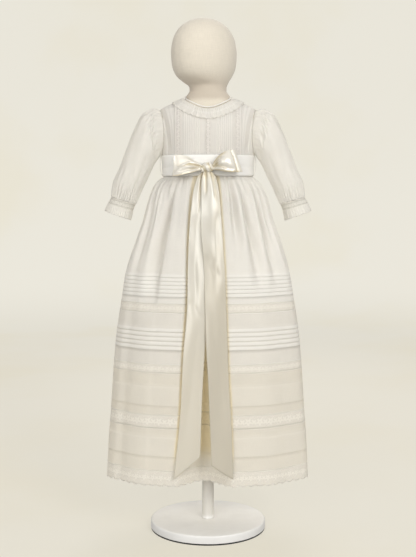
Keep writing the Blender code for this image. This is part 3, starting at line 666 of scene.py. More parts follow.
def buildForm(s):
    rows = list(s["rows"])
    for z, side, front in s["ease"]:
        side, front = side + s["cloth"], front + s["cloth"]
        rows.append((z, float(bodyWidth(z + side)) - side, float(bodyDepth(z + front)) - front,
                     float(bodyPower(z)), 0, 0, 0))
    rows.sort()
    width, depth, power, shiftX, shiftY, turn = readers(rows)
    # more rings where the form closes at its foot and at the top of its head
    t = np.linspace(0, 1, s["rings"])
    z = (rows[0][0] + (rows[-1][0] - rows[0][0]) * (0.5 - 0.5 * np.cos(pi * t)))[:, None]
    angle = roundAngles(s["columns"])[None]
    local = angle - np.radians(turn(z))
    p = power(z)
    reach = ((abs(np.sin(local)) / width(z)) ** p + (abs(np.cos(local)) / depth(z)) ** p) ** (-1 / p)
    # four sewn joins of the cover, from the neck over the head
    reach = reach - s["seamDepth"] * bell(np.sin(2 * local), 0.045) * ease(0.925, 0.94, z)
    points = np.stack([shiftX(z) + reach * np.sin(angle), shiftY(z) - reach * np.cos(angle),
                       np.broadcast_to(z, reach.shape)], axis=-1)
    first = points[:1] * (0.3, 0.3, 1) + (0, 0, -0.0001)
    last = ((points[-1:] - points[-1:].mean(1, keepdims=True)) * (0.15, 0.15, 1)
            + points[-1:].mean(1, keepdims=True))
    points = np.concatenate([first, points, last + (0, 0, 0.0003)])
    piece = gridPiece("formCover", points, flatUv(points, True), finishes["linen"], True, wall=0)
    closeEnds(piece, points.shape)
    return dress(piece, "linen", "dress_form")


def closeEnds(piece, shape):
    # fills the first and last ring of a tube, facing outwards
    def close(bm):
        for row in (0, shape[0] - 1):
            bm.faces.new([bm.verts[row * shape[1] + i] for i in range(shape[1])]).smooth = True
        bmesh.ops.recalc_face_normals(bm, faces=bm.faces)

    reshaped(piece, close)


buildForm(formCloth)
print("form built")


# bodice

bodice = {
    "waist": 0.7572, "rows": 36, "pintucks": 8, "pintuckStart": 0.0160, "pintuckPitch": 0.0042,
    "pintuckHeight": 0.0008, "pintuckWidth": 0.00065, "sidePintucks": (0.0705, 0.0735),
    "rise": 0.13, "centreLace": (-0.0052, 0.0062), "sideLace": (0.0542, 0.0672), "backLap": 0.010,
    "lift": 0.0017,
    # soft drag lines over the chest and back and towards the armholes: place across and height, width, depth
    "frontCreases": [((0.070, 0.775, 0.088, 0.812), 0.0035, 0.0011),
                     ((0.078, 0.850, 0.090, 0.822), 0.0030, 0.0009),
                     ((0.052, 0.770, 0.074, 0.792), 0.0030, 0.0006)],
    "backCreases": [((0.070, 0.775, 0.088, 0.812), 0.0035, 0.0010),
                    ((0.030, 0.768, 0.060, 0.800), 0.0040, 0.0008),
                    ((0.050, 0.870, 0.072, 0.835), 0.0045, 0.0008)],
    # where lines of the cloth start at the waist and end on the shoulder or armhole
    "cuts": mm([
        (56, 56, None), (66, 66, None), (72, 83, None), (77, 98.3, None), (80, 94.8, 876.5),
        (82.5, 91, 863), (85, 88.6, 845), (88, 89.2, 823), (90.5, 91.7, 806), (92.5, 94.5, 795),
    ]),
}
def neckTop(x, front):
    angle = np.linspace(0, pi / 2, 400)
    real = angle if front else pi - angle
    across = bodyReach(real, neckHeight(real)) * np.sin(real)
    return float(np.interp(abs(x), across, neckHeight(real)))


def shoulderTop(x):
    z = np.linspace(0.8855, 0.9100, 300)
    return float(np.interp(-x, -bodyWidth(z), z))


armhole = [(0.0983, shoulderTop(0.0983))] + [(top, z) for _, top, z in bodice["cuts"][4:]]


def bodiceLines(front):
    lines = [(x, x, neckTop(x, front)) for x in np.arange(0, 0.0498, 0.00055)]
    cuts = [(w, t, shoulderTop(t) if z is None else z) for w, t, z in bodice["cuts"]]
    last = cuts[-1]
    cuts[-1] = (last[0], float(bodyWidth(last[2])), last[2])
    cuts = [(0.0498, 0.0498, shoulderTop(0.0499 if front else 0.0498))] + cuts
    for (w0, t0, z0), (w1, t1, z1) in zip(cuts, cuts[1:]):
        parts = 8 if w0 < 0.07 else 6
        lines += [(w0 + (w1 - w0) * i / parts, t0 + (t1 - t0) * i / parts, z0 + (z1 - z0) * i / parts)
                  for i in range(parts)]
    return lines + [cuts[-1]]


def bodiceGrid(lines, sides, front, out, rows):
    # points from the waist up to the top edge, on the body
    w, t, top = (np.array(column)[None] for column in zip(*lines))
    v = np.sin(pi / 2 * np.linspace(0, 1, rows))[:, None]
    x = w + (t - w) * v ** 4
    z = bodice["waist"] + (top - bodice["waist"]) * v
    x = np.where(w > 0.0924, bodyWidth(z), x)
    angle = np.arctan2(x, np.maximum(depthAt(x, z), 0.0002))
    far = bodyReach(angle, z) + out
    facing = -1 if front else 1
    return np.stack([far * np.array(sides)[None] * np.sin(angle), facing * far * np.cos(angle),
                     np.broadcast_to(z, far.shape)], axis=-1)


def ridge(x, places, width, height):
    return sum(height * bell(x - place, width) for place in places)


def buildBodiceFront(s):
    half = bodiceLines(True)
    lines = half[::-1] + half[1:]
    sides = [-1] * len(half) + [1] * (len(half) - 1)
    x = np.array([line[0] for line in lines])
    tucks = ([s["pintuckStart"] + (i + 0.5) * s["pintuckPitch"] for i in range(s["pintucks"])]
             + list(s["sidePintucks"]))
    raised = ridge(x, tucks, s["pintuckWidth"], s["pintuckHeight"])
    v = np.linspace(0, 1, s["rows"])[:, None]
    signed = x * np.array(sides)
    out = np.broadcast_to(raised, (s["rows"], len(x))) * ease(0.0, 0.03, v) * ease(1.0, 0.97, v)
    # a bound edge round the armhole
    out = out + 0.0012 * ease(0.0815, 0.0830, x)[None] * ease(0.10, 0.20, v)
    z = s["waist"] + v * s["rise"] + signed[None] * 0
    for side in (-1, 1):
        out = out + creases(side * signed[None] + v * 0, z, s["frontCreases"])
    layersAndPaintedShade = 1.0 + 2.0 * np.clip(raised / s["pintuckHeight"] * 1.5, 0, 1)
    low, high = s["sideLace"]
    under = ((x > low) & (x < high)) | ((signed > s["centreLace"][0]) & (signed < s["centreLace"][1]))
    layersAndPaintedShade = np.where(under, 0.9, layersAndPaintedShade)
    # cloth layers in the bound edges at the waist, neck and armholes
    bound = 2.6
    edges = bound * (1 - ease(0.0, 0.012, v)) + bound * ease(0.985, 1.0, v)
    layersAndPaintedShade = np.maximum(np.broadcast_to(layersAndPaintedShade, out.shape), edges)
    layersAndPaintedShade = np.maximum(layersAndPaintedShade, bound * ease(0.0818, 0.0826, x)[None])
    points = bodiceGrid(lines, sides, True, out, s["rows"])
    uv = np.stack(np.broadcast_arrays(signed[None], points[..., 2]), axis=-1)
    piece = gridPiece("bodiceFront", points, uv, finishes["bodice"], layersAndPaintedShade=layersAndPaintedShade)
    dress(piece, "voile", "bodice_front")
    # lace insertions lie in the cloth between the tucks
    laces = []
    for name, (a, b), mirrored in (("bodiceLaceMiddle", s["centreLace"], 0),
                                   ("bodiceLaceLeft", s["sideLace"], -1),
                                   ("bodiceLaceRight", s["sideLace"], 1)):
        xs = np.linspace(a, b, 15)
        w, t, top = (np.array(c) for c in zip(*half))
        strip = [(abs(p), float(np.interp(abs(p), w, t)),
                  float(np.interp(abs(p), w, top)) - 0.0008) for p in xs]
        side = [mirrored or (1 if p >= 0 else -1) for p in xs]
        grid = bodiceGrid(strip, side, True, 0.0004 + 0.0003 * np.sin(pi * np.linspace(0, 1, 15))[None], 60)
        grid = grid.transpose(1, 0, 2)
        lace = gridPiece(name, grid, flatUv(grid, False), finishes["bodiceLace"], wall=0.0004, offset=1.0)
        laces.append(dress(lace, "lace"))
    return piece, laces


def buildBodiceBack(s):
    half = bodiceLines(False)
    lap = [(p, p, neckTop(p, False)) for p in np.linspace(s["backLap"], 0.0004, 14)]
    pieces = []
    for name, node, side in (("bodiceBackRight", "bodice_back_right", 1),
                             ("bodiceBackLeft", "bodice_back_left", -1)):
        lines = lap + half
        sides = [-side] * len(lap) + [side] * len(half)
        place = np.array([-p[0] for p in lap] + [p[0] for p in half])
        v = np.linspace(0, 1, s["rows"])[:, None]
        up = np.sin(pi / 2 * v)
        over = s["lift"] * (1 - ease(0.030, 0.050, place))[None] * (1 + 0.7 * up ** 4)
        # the left back laps over the right
        out = over * (side < 0) + 0.0002 * ease(0.012, 0.0085, abs(place))[None]
        z = s["waist"] + v * s["rise"] + place[None] * 0
        out = out + creases(place[None] + v * 0, z, s["backCreases"])
        layersAndPaintedShade = 1.0 + 1.8 * ease(0.0125, 0.0120, place)[None] + 0.0 * v
        layersAndPaintedShade = np.maximum(layersAndPaintedShade, 2.6 * (1 - ease(0.0, 0.012, v)) + 2.6 * ease(0.985, 1.0, v))
        layersAndPaintedShade = np.maximum(layersAndPaintedShade, 2.6 * ease(0.0895, 0.0915, place)[None])
        points = bodiceGrid(lines, sides, False, out, s["rows"])
        uv = np.stack(np.broadcast_arrays(place[None], points[..., 2]), axis=-1)
        piece = gridPiece(name, points, uv, finishes["bodice"], layersAndPaintedShade=layersAndPaintedShade)
        pieces.append(dress(piece, "voile", node))
    return pieces


bodiceFront, bodiceLaces = buildBodiceFront(bodice)
bodiceBacks = buildBodiceBack(bodice)
print("bodice built")


# buttons at the back

buttons = {"heights": (0.806, 0.836, 0.866), "radius": 0.0045, "thickness": 0.0024, "away": 0.0021,
           "holes": 0.0011}


def buildButtons(s):
    for number, height in enumerate(s["heights"], start=1):
        rise = (depthAt(0, height + 0.004) - depthAt(0, height - 0.004)) / 0.008
        outward = Vector((0, 1, -float(rise))).normalized()
        surface = Vector((0, float(depthAt(0, height)), height)) + outward * s["away"]
        r, t = s["radius"], s["thickness"]
        profile = [(0.0010, 0.0), (r * 0.80, 0.0), (r * 0.97, t * 0.30), (r, t * 0.60), (r * 0.95, t * 0.92),
                   (r * 0.84, t), (r * 0.70, t * 0.90), (r * 0.60, t * 0.72), (r * 0.30, t * 0.66),
                   (0.0010, t * 0.66)]
        rings = lathe(profile, 32)
        turn = outward.to_track_quat("Z", "Y").to_matrix()
        rings = rings @ np.array(turn).T + np.array(surface)
        middle = (np.array(surface) + np.array(outward) * t / 2)[None, None]
        piece = gridPiece(f"button{number}", rings, flatUv(rings, True), finishes["pearl"], True,
                          inside=middle, wall=0)
        closeEnds(piece, rings.shape)
        dress(piece, "pearl", f"button_{number}")
        # two crossed threads in the middle of the button
        bars = []
        for a in (radians(45), radians(-45)):
            one = [Vector((cos(a), sin(a), 0)) * d * s["holes"] + Vector((0, 0, t * 0.78)) for d in (-1, 1)]
            bars.append(([surface + turn @ p for p in one], False))
        trailPiece(f"buttonThread{number}", "stitch", bars, Pitch=0.00035, Length=0.0006, Thickness=0.0005,
                   Lean=0.0)


buildButtons(buttons)
print("buttons built")


# neck binding and frill

collar = {
    "gap": 0.0018, "bindingWidth": 0.0036, "bindingHalf": 0.0008, "frillWidth": 0.0260, "frillCut": 0.5040,
    "frillColumns": 440, "frillRows": 22, "waves": 26, "waveHeight": 0.0021, "scallops": 44,
    "scallopDepth": 0.0026,
}


def downTheBody(angle, distances):
    # walks over the body's outer side from the neck line, down for a positive distance
    spots = []
    step = 0.0004
    for sign in (1, -1):
        z = neckHeight(angle)
        here = bodyReach(angle, z)
        walked = np.zeros_like(angle)
        trail = [(walked, here, z)]
        for _ in range(110):
            lower = z - sign * step
            reach = bodyReach(angle, lower)
            walked = walked + np.hypot(reach - here, step)
            z, here = lower, reach
            trail.append((walked, here, z))
        spots.append([np.array(column) for column in zip(*trail)])
    result = []
    for distance in distances:
        walked, reach, z = spots[0] if distance >= 0 else spots[1]
        far = np.array([np.interp(abs(distance), walked[:, i], reach[:, i]) for i in range(len(angle))])
        high = np.array([np.interp(abs(distance), walked[:, i], z[:, i]) for i in range(len(angle))])
        slope = (bodyReach(angle, high - 0.001) - bodyReach(angle, high + 0.001)) / 0.002
        normal = np.stack([np.sin(angle), -np.cos(angle), slope], axis=-1)
        normal /= np.linalg.norm(normal, axis=-1, keepdims=True)
        result.append((np.stack([far * np.sin(angle), -far * np.cos(angle), high], axis=-1), normal))
    return result


def buildCollar(s):
    angle = roundAngles(160)
    low, high = -s["gap"], -s["gap"] - s["bindingWidth"]
    (a, na), (b, nb) = downTheBody(angle, (low, high))
    rings = []
    corners = 12
    for i in range(corners):
        turn = tau * i / corners
        t, side = 0.5 + 0.5 * cos(turn), sin(turn)
        rings.append(a + (b - a) * t + (na + (nb - na) * t) * s["bindingHalf"] * side)
    rings = np.array(rings + rings[:1])
    middle = ((a + b) / 2)[None]
    binding = gridPiece("neckBinding", rings, flatUv(rings, True), finishes["bodice"], True, 3.0, middle,
                        wall=0)
    joinEnds(binding)
    dress(binding, "voile", "neck_binding")

    count = s["frillColumns"]
    t = np.linspace(0, 1, count + 1)
    angle = -pi + 0.012 + (tau - 0.024) * t
    share = np.linspace(0.03, 1.0, s["frillRows"])
    spots = downTheBody(angle, share * s["frillWidth"])
    points = np.array([p for p, _ in spots])
    normal = np.array([n for _, n in spots])
    sh = share[:, None]
    # uneven flutes that widen to the edge, and finer gathers at the neck
    phase = s["waves"] * tau * t + 0.9 * np.sin(tau * 5 * t) + 0.5 * np.sin(tau * 9 * t + 1)
    flute = 0.5 - 0.5 * np.cos(phase)
    size = s["waveHeight"] * (0.72 + 0.28 * np.sin(tau * 7 * t + 0.6))
    fine = 0.0004 * np.cos(s["waves"] * 3 * tau * t + 2 * np.sin(tau * 11 * t))
    lap = np.where((abs(points[0, :, 0]) < 0.045) & (points[0, :, 1] > 0), 0.0020, 0.0)
    lift = 0.0011 + lap + size * sh ** 1.2 * flute + fine * (1 - sh) ** 0.35
    points = points + normal * lift[..., None]
    # scalloped edge: the last rows reach further down between the notches
    notch = s["scallopDepth"] * (1 - abs(np.sin(pi * s["scallops"] * t)) ** 0.7)
    drop = points[-1] - points[-2]
    drop /= np.linalg.norm(drop, axis=-1, keepdims=True)
    points = points - drop[None] * (notch[None] * ease(0.6, 1.0, sh))[..., None]
    uv = np.stack(np.meshgrid(t * s["frillCut"], share * s["frillWidth"]), axis=-1)
    frill = gridPiece("collarFrill", points, uv, finishes["frillLace"], wall=0.0004, offset=1.0)
    dress(frill, "lace", "collar_frill")
    return binding, frill, points[-1]


def joinEnds(piece):
    def join(bm):
        bmesh.ops.remove_doubles(bm, verts=bm.verts, dist=0.00002)
        bmesh.ops.recalc_face_normals(bm, faces=bm.faces)

    reshaped(piece, join)


neckBinding, collarFrill, frillEdge = buildCollar(collar)
trailPiece("frillPicots", "picot", [(frillEdge[::2], False)], Pitch=0.0032, Length=0.0009, Thickness=0.0009,
           Lean=0.0)
print("collar built")


# sleeves and cuffs

sleeve = {
    "head": 0.048, "scallopDepth": 0.0026,
    # outer edge x z, inner edge x z, half depth from front to back
    "rows": mm([
        (112, 888.5, 99.2, 792.5, 44), (134, 878, 103.5, 786, 50), (153, 846, 109, 777.5, 50),
        (169, 808, 116.5, 763.5, 46.5), (185, 767, 126, 743, 42), (198.5, 734.5, 138, 719, 36.5),
        (202, 706, 151.6, 691, 27),
    ]),
    "cuffRows": mm([
        (202.2, 705.5, 151.8, 690.5, 26.8), (208.5, 694.5, 156.2, 679, 26.2),
        (215.5, 677, 162.5, 657.5, 29),
    ]),
    "columns": 176, "rings": 76, "headGathers": 30, "wristGathers": 28, "cuffWaves": 12, "scallops": 15,
    # creases: place round the arm in degrees from the top by the front, and share down the sleeve
    "creases": [
        ((26, 0.02, 52, 0.22), 3.5, 0.0048), ((42, 0.03, 72, 0.20), 3.5, 0.0046),
        ((56, 0.04, 90, 0.22), 4, 0.0056), ((72, 0.05, 106, 0.19), 3.5, 0.0046),
        ((90, 0.05, 130, 0.26), 4, 0.0048), ((10, 0.02, 16, 0.20), 5, 0.0026),
        ((118, 0.06, 152, 0.34), 6, 0.0034), ((142, 0.08, 168, 0.52), 8, 0.0030),
        ((60, 0.45, 96, 0.88), 10, 0.0018), ((118, 0.40, 132, 0.93), 9, 0.0024),
        ((20, 0.55, 34, 0.95), 8, 0.0022), ((150, 0.55, 158, 0.96), 8, 0.0022),
        ((84, 0.62, 104, 0.97), 7, 0.0016), ((50, 0.66, 58, 0.97), 6, 0.0020),
        ((-24, 0.02, -46, 0.22), 5, 0.0034), ((-46, 0.04, -78, 0.20), 5, 0.0036),
        ((-72, 0.05, -112, 0.26), 6, 0.0036), ((-104, 0.06, -148, 0.36), 6, 0.0034),
        ((-58, 0.45, -88, 0.90), 9, 0.0024), ((-120, 0.42, -134, 0.94), 9, 0.0028),
        ((-22, 0.60, -32, 0.96), 8, 0.0018),
    ],
}


def armholeRing(angle):
    # the bodice's armhole edge, round by the front and back up behind
    turn = np.mod(angle, tau)
    half = np.where(turn <= pi, turn, tau - turn) / pi
    place = np.linspace(0, 1, len(armhole))
    x = np.interp(half, place, [p[0] for p in armhole])
    z = np.interp(half, place, [p[1] for p in armhole])
    y = depthAt(x, z) * ease(0.0, 0.06, half) * ease(1.0, 0.94, half)
    return np.stack([x + 0.0006, np.where(turn <= pi, -y, y), z], axis=-1)


def tubeRing(table, share, angle):
    # smooth section of a sleeve or cuff at a share of its length
    outX, outZ, inX, inZ, deep = readRows(table, share)
    centreX, centreZ = (outX + inX) / 2, (outZ + inZ) / 2
    points = np.stack(np.broadcast_arrays(
        centreX + (outX - inX) / 2 * np.cos(angle), -deep * np.sin(angle),
        centreZ + (outZ - inZ) / 2 * np.cos(angle)
    ), axis=-1)
    centre = np.stack([centreX, centreX * 0, centreZ], axis=-1)
    return points, centre


def buildSleeve(s, side, word):
    angle = roundAngles(s["columns"])[None]
    share = np.linspace(0, 1, s["rings"])
    head = s["head"]
    arm, centre = tubeRing(s["rows"], np.clip((share - head) / (1 - head), 0, 1), angle)
    start = armholeRing(angle[0])[None]
    into = ease(0.0, head, share)[:, None, None] ** 0.8
    points = start * (1 - into) + arm * into
    sh = share[:, None]
    wobble = 1.3 * np.sin(3 * angle + 0.5) + 0.8 * np.sin(5 * angle + 2)
    top = 0.5 + 0.5 * np.cos(angle)
    out = (0.0010 * np.cos(s["headGathers"] * angle + 2.4 * wobble) * ease(0.0, 0.03, sh)
           * ease(0.26, 0.05, sh) * (0.25 + 0.75 * top))
    out = out + 0.0011 * np.cos(9 * angle) * ease(0.03, 0.1, sh) * ease(0.55, 0.2, sh)
    out = out + (0.0014 * np.cos(s["wristGathers"] * angle + wobble) * ease(0.74, 0.97, sh)
                 * ease(1.0, 0.985, sh))
    out = out + 0.0006 * np.cos(13 * angle + 1.1 * wobble) * ease(0.55, 0.9, sh) * ease(1.0, 0.95, sh)
    degrees = np.degrees(halfTurns(angle))
    out = out + creases(degrees, sh, s["creases"], 0.01, 1.6, 0.01)
    points, centre = pushed(points, True, out, centre) * (side, 1, 1), centre * (side, 1, 1)
    layersAndPaintedShade = 1.0 + 1.6 * (1 - ease(0.0, 0.02, sh)) + 1.6 * ease(0.985, 1.0, sh) + 0 * angle
    layersAndPaintedShade = layersAndPaintedShade + 1.6 * bell(degrees - 180, 2.2) + 1.6 * bell(degrees + 180, 2.2)
    piece = gridPiece(f"sleeve{word}", points, flatUv(points, True), finishes["sleeve"], True, layersAndPaintedShade, centre)
    dress(piece, "voile", f"sleeve_{word.lower()}")

    # cuff: a lace band, then a scalloped frill of lace
    share = np.linspace(0, 1, 30)
    ring, middle = tubeRing(s["cuffRows"], share, angle)
    sh = share[:, None]
    flutes = 0.5 + 0.5 * np.cos(s["cuffWaves"] * angle + 1.6 * np.sin(3 * angle) + 0.9 * np.sin(5 * angle))
    out = 0.0010 * flutes * ease(0.5, 1.0, sh) + 0.0004 * np.cos(36 * angle) * ease(0.5, 0.6, sh)
    out = out + 0.0006 * bell(sh - 0.02, 0.03) - 0.0005 * bell(sh - 0.5, 0.03)
    ring = pushed(ring, True, out, middle)
    down = ring[-1:] - ring[-4:-3]
    down /= np.linalg.norm(down, axis=-1, keepdims=True)
    notch = s["scallopDepth"] * (1 - abs(np.sin(s["scallops"] * angle)) ** 0.7)
    ring = ring - down * (notch * ease(0.7, 1.0, sh))[..., None]
    ring, middle = ring * (side, 1, 1), middle * (side, 1, 1)
    uv = flatUv(ring, True, repeat=0.012)
    cuff = gridPiece(f"cuff{word}", ring, uv, finishes["cuffLace"], True, None, middle, 0.0004)
    dress(cuff, "lace", f"cuff_{word.lower()}")
    seams = [(points[1, ::2], True), (points[-1, ::2], True), (ring[15, ::2], True)]
    trailPiece(f"sleeveStitches{word}", "stitch", seams, Pitch=0.0016, Length=0.0013, Thickness=0.0005,
               Lean=0.7)
    trailPiece(f"cuffPicots{word}", "picot", [(ring[-1], True)], Pitch=0.0030, Length=0.0009,
               Thickness=0.0009, Lean=0.0)
    return piece, cuff


sleeves = [buildSleeve(sleeve, side, word) for side, word in ((-1, "Left"), (1, "Right"))]
print("sleeves built")


# skirt

skirt = {
    # height, half width, half depth, gathers, broad waves, fold's left and right edge, fold's depth
    "rows": mm([
        (760, 91.5, 63.2, 0, 0, -36, 22, 0), (747.8, 93, 64.6, 0, 0, -37, 22, 0),
        (740, 102, 70, 1.8, 0, -38, 23, 1), (725, 113, 75, 3, 0, -40, 24, 3),
        (700, 124.5, 80, 3.6, 0, -42, 26, 9), (660, 137, 86, 3, 0.6, -45, 28, 19),
        (610, 155, 91.5, 2, 1.2, -47, 30, 32), (549.5, 172, 96, 1.2, 1.8, -50, 34, 42),
        (489, 182, 99, 0.5, 2.4, -53, 38, 45), (436, 190, 101, 0, 2.8, -56, 41, 46),
        (372, 197, 103, 0, 3.2, -59, 44, 47), (275, 203.5, 104, 0, 3.6, -64, 48, 48),
        (204, 209, 104.5, 0, 4, -67, 50, 48), (110, 214, 105, 0, 4.4, -71, 53, 48),
    ]),
    # single folds: degrees round from the front, half width, depth, where they begin and fade
    "drapes": mm([
        (-39, 4.4, 27.5, 748, 450), (-30, 3.4, -4.5, 735, 540), (-50, 3.2, 5, 744, 560),
        (-61, 4.4, 8.5, 744, 480), (-72, 3.2, 4.5, 742, 580), (24, 2.6, 11.5, 746, 540),
        (31, 2.8, -3, 735, 560), (37, 3, 15, 746, 460), (45, 3.2, -3.4, 735, 540), (55, 3.8, 15, 746, 460),
        (66, 2.8, 5.5, 744, 560), (76, 3.2, 6.5, 742, 540), (98, 5, 15, 745, 470), (-84, 3.6, 9, 742, 540),
        (-104, 5, 16, 745, 460), (118, 3.6, 9, 742, 560), (136, 4.6, 15, 745, 480),
        (-122, 3.6, 9, 742, 560), (-143, 4.6, 15.5, 745, 460), (157, 3.6, 9, 742, 550),
        (177, 5.6, 18, 748, 440), (-162, 3.6, 9, 742, 560),
    ], (0, 1)),
    "columns": 440, "foldColumns": 64, "gathers": 16, "waves": 8, "cloth": 0.0005,
    "tuckHeight": 0.0007, "bandHeight": 0.0002, "flap": 0.62, "seam": 0.0014,
    # name, node, top, bottom, tucks (top, bottom, how many), finish
    "strips": [
        ("skirtUpper", "skirt_upper", 0.7568, 0.4905, (0.5495, 0.5020, 6), "skirt"),
        ("skirtLace1", "skirt_lace_1", 0.4905, 0.4720, None, "insertion"),
        ("skirtMiddle", "skirt_middle", 0.4720, 0.3665, (0.4400, 0.3940, 5), "middleSkirt"),
        ("skirtLace2", "skirt_lace_2", 0.3665, 0.3490, None, "insertion"),
        ("skirtLower1", "skirt_lower_1", 0.3490, 0.2630, (0.3215, 0.2820, 1), "lowerSkirt"),
        ("skirtLace3", "skirt_lace_3", 0.2630, 0.2345, None, "wideInsertion"),
        ("skirtLower2", "skirt_lower_2", 0.2345, 0.1470, (0.2170, 0.1770, 1), "lowerSkirt"),
        ("hemLace", "hem_lace", 0.1470, 0.1150, None, "hemLace"),
    ],
    "hemScallop": 0.0180, "hemDepth": 0.0040,
}
skirtReaders = readers(skirt["rows"])


def skirtGrid(z, out, s=skirt):
    # rings of the skirt at the heights z, moved outwards by out
    z = np.asarray(z, float)[:, None]
    a, b, gather, wave, foldLeft, foldRight, foldDepth = (read(z) for read in skirtReaders)
    i = np.arange(s["columns"])[None]
    fold = s["foldColumns"]
    left, right = np.arcsin(foldLeft / a), np.arcsin(foldRight / a)
    inFold = i <= fold
    share = np.where(inFold, 0.0, (i - fold) / (s["columns"] - fold))
    f = np.where(inFold, 2 * i / fold - 1, 1.0)
    angle = np.where(inFold, left + (right - left) * i / fold, right + (left + tau - right) * share)
    recess = np.where(inFold, foldDepth * np.maximum(np.cos(pi / 2 * f), 0) ** 1.7, 0.0)
    # a second, narrower pleat just inside each edge of the fold
    pleat = 0.0035 * bell(f + 0.70, 0.20) + 0.0050 * bell(f - 0.74, 0.18)
    recess = recess + np.where(inFold, pleat * ease(0.752, 0.738, z) * ease(0.50, 0.64, z), 0.0)
    calm = np.clip(np.sin(pi * share), 0, 1) ** 0.5
    warp = share + 0.010 * np.sin(tau * 3 * share + 0.7) + 0.005 * np.sin(tau * 7 * share)
    ripple = gather * (0.75 + 0.25 * np.sin(tau * 3 * share + 1)) * np.cos(tau * s["gathers"] * warp)
    fine = (0.0024 * np.cos(tau * 47 * warp + 1.4 * np.sin(tau * 9 * share))
            * (0.65 + 0.35 * np.sin(tau * 5 * share)))
    ripple = ripple + fine * ease(0.7530, 0.7400, z) * ease(0.590, 0.725, z)
    mid = 0.0020 * np.cos(tau * 29 * warp + 1.1 * np.sin(tau * 4 * share + 2))
    ripple = ripple + mid * ease(0.7480, 0.7300, z) * ease(0.500, 0.690, z)
    ripple = ripple + wave * calm * np.cos(tau * (s["waves"] * share + 0.5))
    soft = 0.0010 * np.cos(tau * 13 * warp + 0.6) + 0.0007 * np.cos(tau * 21 * warp + 2.0)
    ripple = ripple + soft * ease(0.60, 0.48, z) * calm
    for degrees, width, depth, top, bottom in s["drapes"]:
        away = halfTurns(angle - radians(degrees))
        spread = 1 + 0.9 * ease(top, bottom, z)
        fade = ease(top, top - 0.09, z) * ease(bottom, bottom + 0.16, z)
        ripple = ripple - depth * fade * bell(away, radians(width) * spread)
    # a flat panel beside the tails
    degrees = np.degrees(halfTurns(angle))
    ripple = ripple * (1 - 0.88 * ease(-38, -33, degrees) * ease(0, -10, degrees) * ease(0.745, 0.722, z))
    ripple = np.where(inFold, 0.0, ripple) * ease(0.0, 0.012, share + inFold)
    nx, ny = np.sin(angle) / a, -np.cos(angle) / b
    length = np.hypot(nx, ny)
    x = a * np.sin(angle) + nx / length * ripple
    y = -b * np.cos(angle) + ny / length * ripple + recess
    tx, ty = np.roll(x, -1, 1) - np.roll(x, 1, 1), np.roll(y, -1, 1) - np.roll(y, 1, 1)
    size = np.maximum(np.hypot(tx, ty), 1e-9)
    move = np.broadcast_to(np.asarray(out, float)[:, None], x.shape)
    return np.stack([x + ty / size * move, y - tx / size * move, np.broadcast_to(z, x.shape)], axis=-1)


def stripRows(s, top, bottom, tucks):
    # height, how far out and how many layers, from the top of a strip to its bottom
    seam = s["seam"]
    rows = [(top, 0.0, 2.6), (top - seam, 0.0, 2.6), (top - seam - 0.0004, 0.0, 1.0)]
    if tucks:
        high, low, count = tucks
        pitch = (high - low) / count
        flap = pitch * (s["flap"] if count > 1 else 0.985)
        height = s["tuckHeight"] if count > 1 else s["bandHeight"]
        dense = 3.0 if count > 1 else 1.9
        for i in range(count):
            z = high - i * pitch
            rows += [(z + 0.0004, 0.0, 1.0), (z, 0.0002, dense), (z - flap * 0.5, height * 0.7, dense),
                     (z - flap, height, dense), (z - flap - 0.0004, height * 0.85, dense),
                     (z - flap - 0.0006, 0.0, 1.0)]
    rows += [(bottom + seam + 0.0004, 0.0, 1.0), (bottom + seam, 0.0, 2.6), (bottom, 0.0, 2.6)]
    filled = [rows[0]]
    for row in rows[1:]:
        before = filled[-1]
        parts = int(np.ceil((before[0] - row[0]) / (0.0042 if row[0] > 0.5 else 0.0080)))
        for k in range(1, parts):
            filled.append(tuple(before[j] + (row[j] - before[j]) * k / parts for j in range(3)))
        filled.append(row)
    return np.array(filled)


def buildSkirt(s):
    made, seams = [], []
    for name, node, top, bottom, tucks, finish in s["strips"]:
        if finish in ("skirt", "middleSkirt", "lowerSkirt"):
            rows = stripRows(s, top, bottom, tucks)
            points = skirtGrid(rows[:, 0], rows[:, 1])
            piece = gridPiece(name, points, flatUv(points, True), finishes[finish], True, rows[:, 2:3],
                              wall=s["cloth"])
            dress(piece, "voile", node)
        else:
            hem = finish == "hemLace"
            low = bottom if hem else bottom + 0.0001
            z = np.linspace(top - 0.0001, low, 14 if hem else 7)
            points = skirtGrid(z, np.full(len(z), -0.0001))
            repeat = s["hemScallop"] if hem else (0.024 if finish == "wideInsertion" else 0.016)
            uv = flatUv(points, True, repeat=repeat)
            if hem:
                # rounded scallops along the lower edge
                u = uv[-1, :-1, 0]
                notch = s["hemDepth"] * (1 - abs(np.sin(pi * u / repeat)) ** 0.75)
                points[..., 2] += notch[None] * ease(top - 0.012, bottom, z)[:, None]
            piece = gridPiece(name, points, uv, finishes[finish], True, None, wall=0.0004)
            dress(piece, "lace", node)
            seams += [(skirtGrid([top], [0.0002])[0][::2], True)]
            if hem:
                edge = points[-1]
            else:
                seams += [(skirtGrid([bottom], [0.0002])[0][::2], True)]
        made.append(piece)
    trailPiece("skirtSeams", "stitch", seams, Pitch=0.0034, Length=0.0038, Thickness=0.0009, Lean=0.2)
    trailPiece("hemPicots", "picot", [(edge, True)], Pitch=0.0034, Length=0.0010, Thickness=0.0010, Lean=0.0)
    return made


skirtStrips = buildSkirt(skirt)
print("skirt built")


# sash and bow

sash = {
    "bottom": 0.7482, "top": 0.7920, "clearance": 0.0024, "rows": 26, "columns": 260,
    # degrees round from the front and share up the band, half width, depth
    "creases": [((-85, 0.35, -30, 0.62), 0.05, 0.0008), ((-60, 0.70, -20, 0.78), 0.05, 0.0006),
                ((25, 0.60, 84, 0.36), 0.05, 0.0008), ((20, 0.24, 60, 0.20), 0.05, 0.0006),
                ((100, 0.45, 170, 0.55), 0.06, 0.0008), ((-165, 0.42, -95, 0.52), 0.06, 0.0008),
                ((110, 0.75, 150, 0.70), 0.05, 0.0006), ((-70, 0.18, -95, 0.22), 0.05, 0.0006)],
}


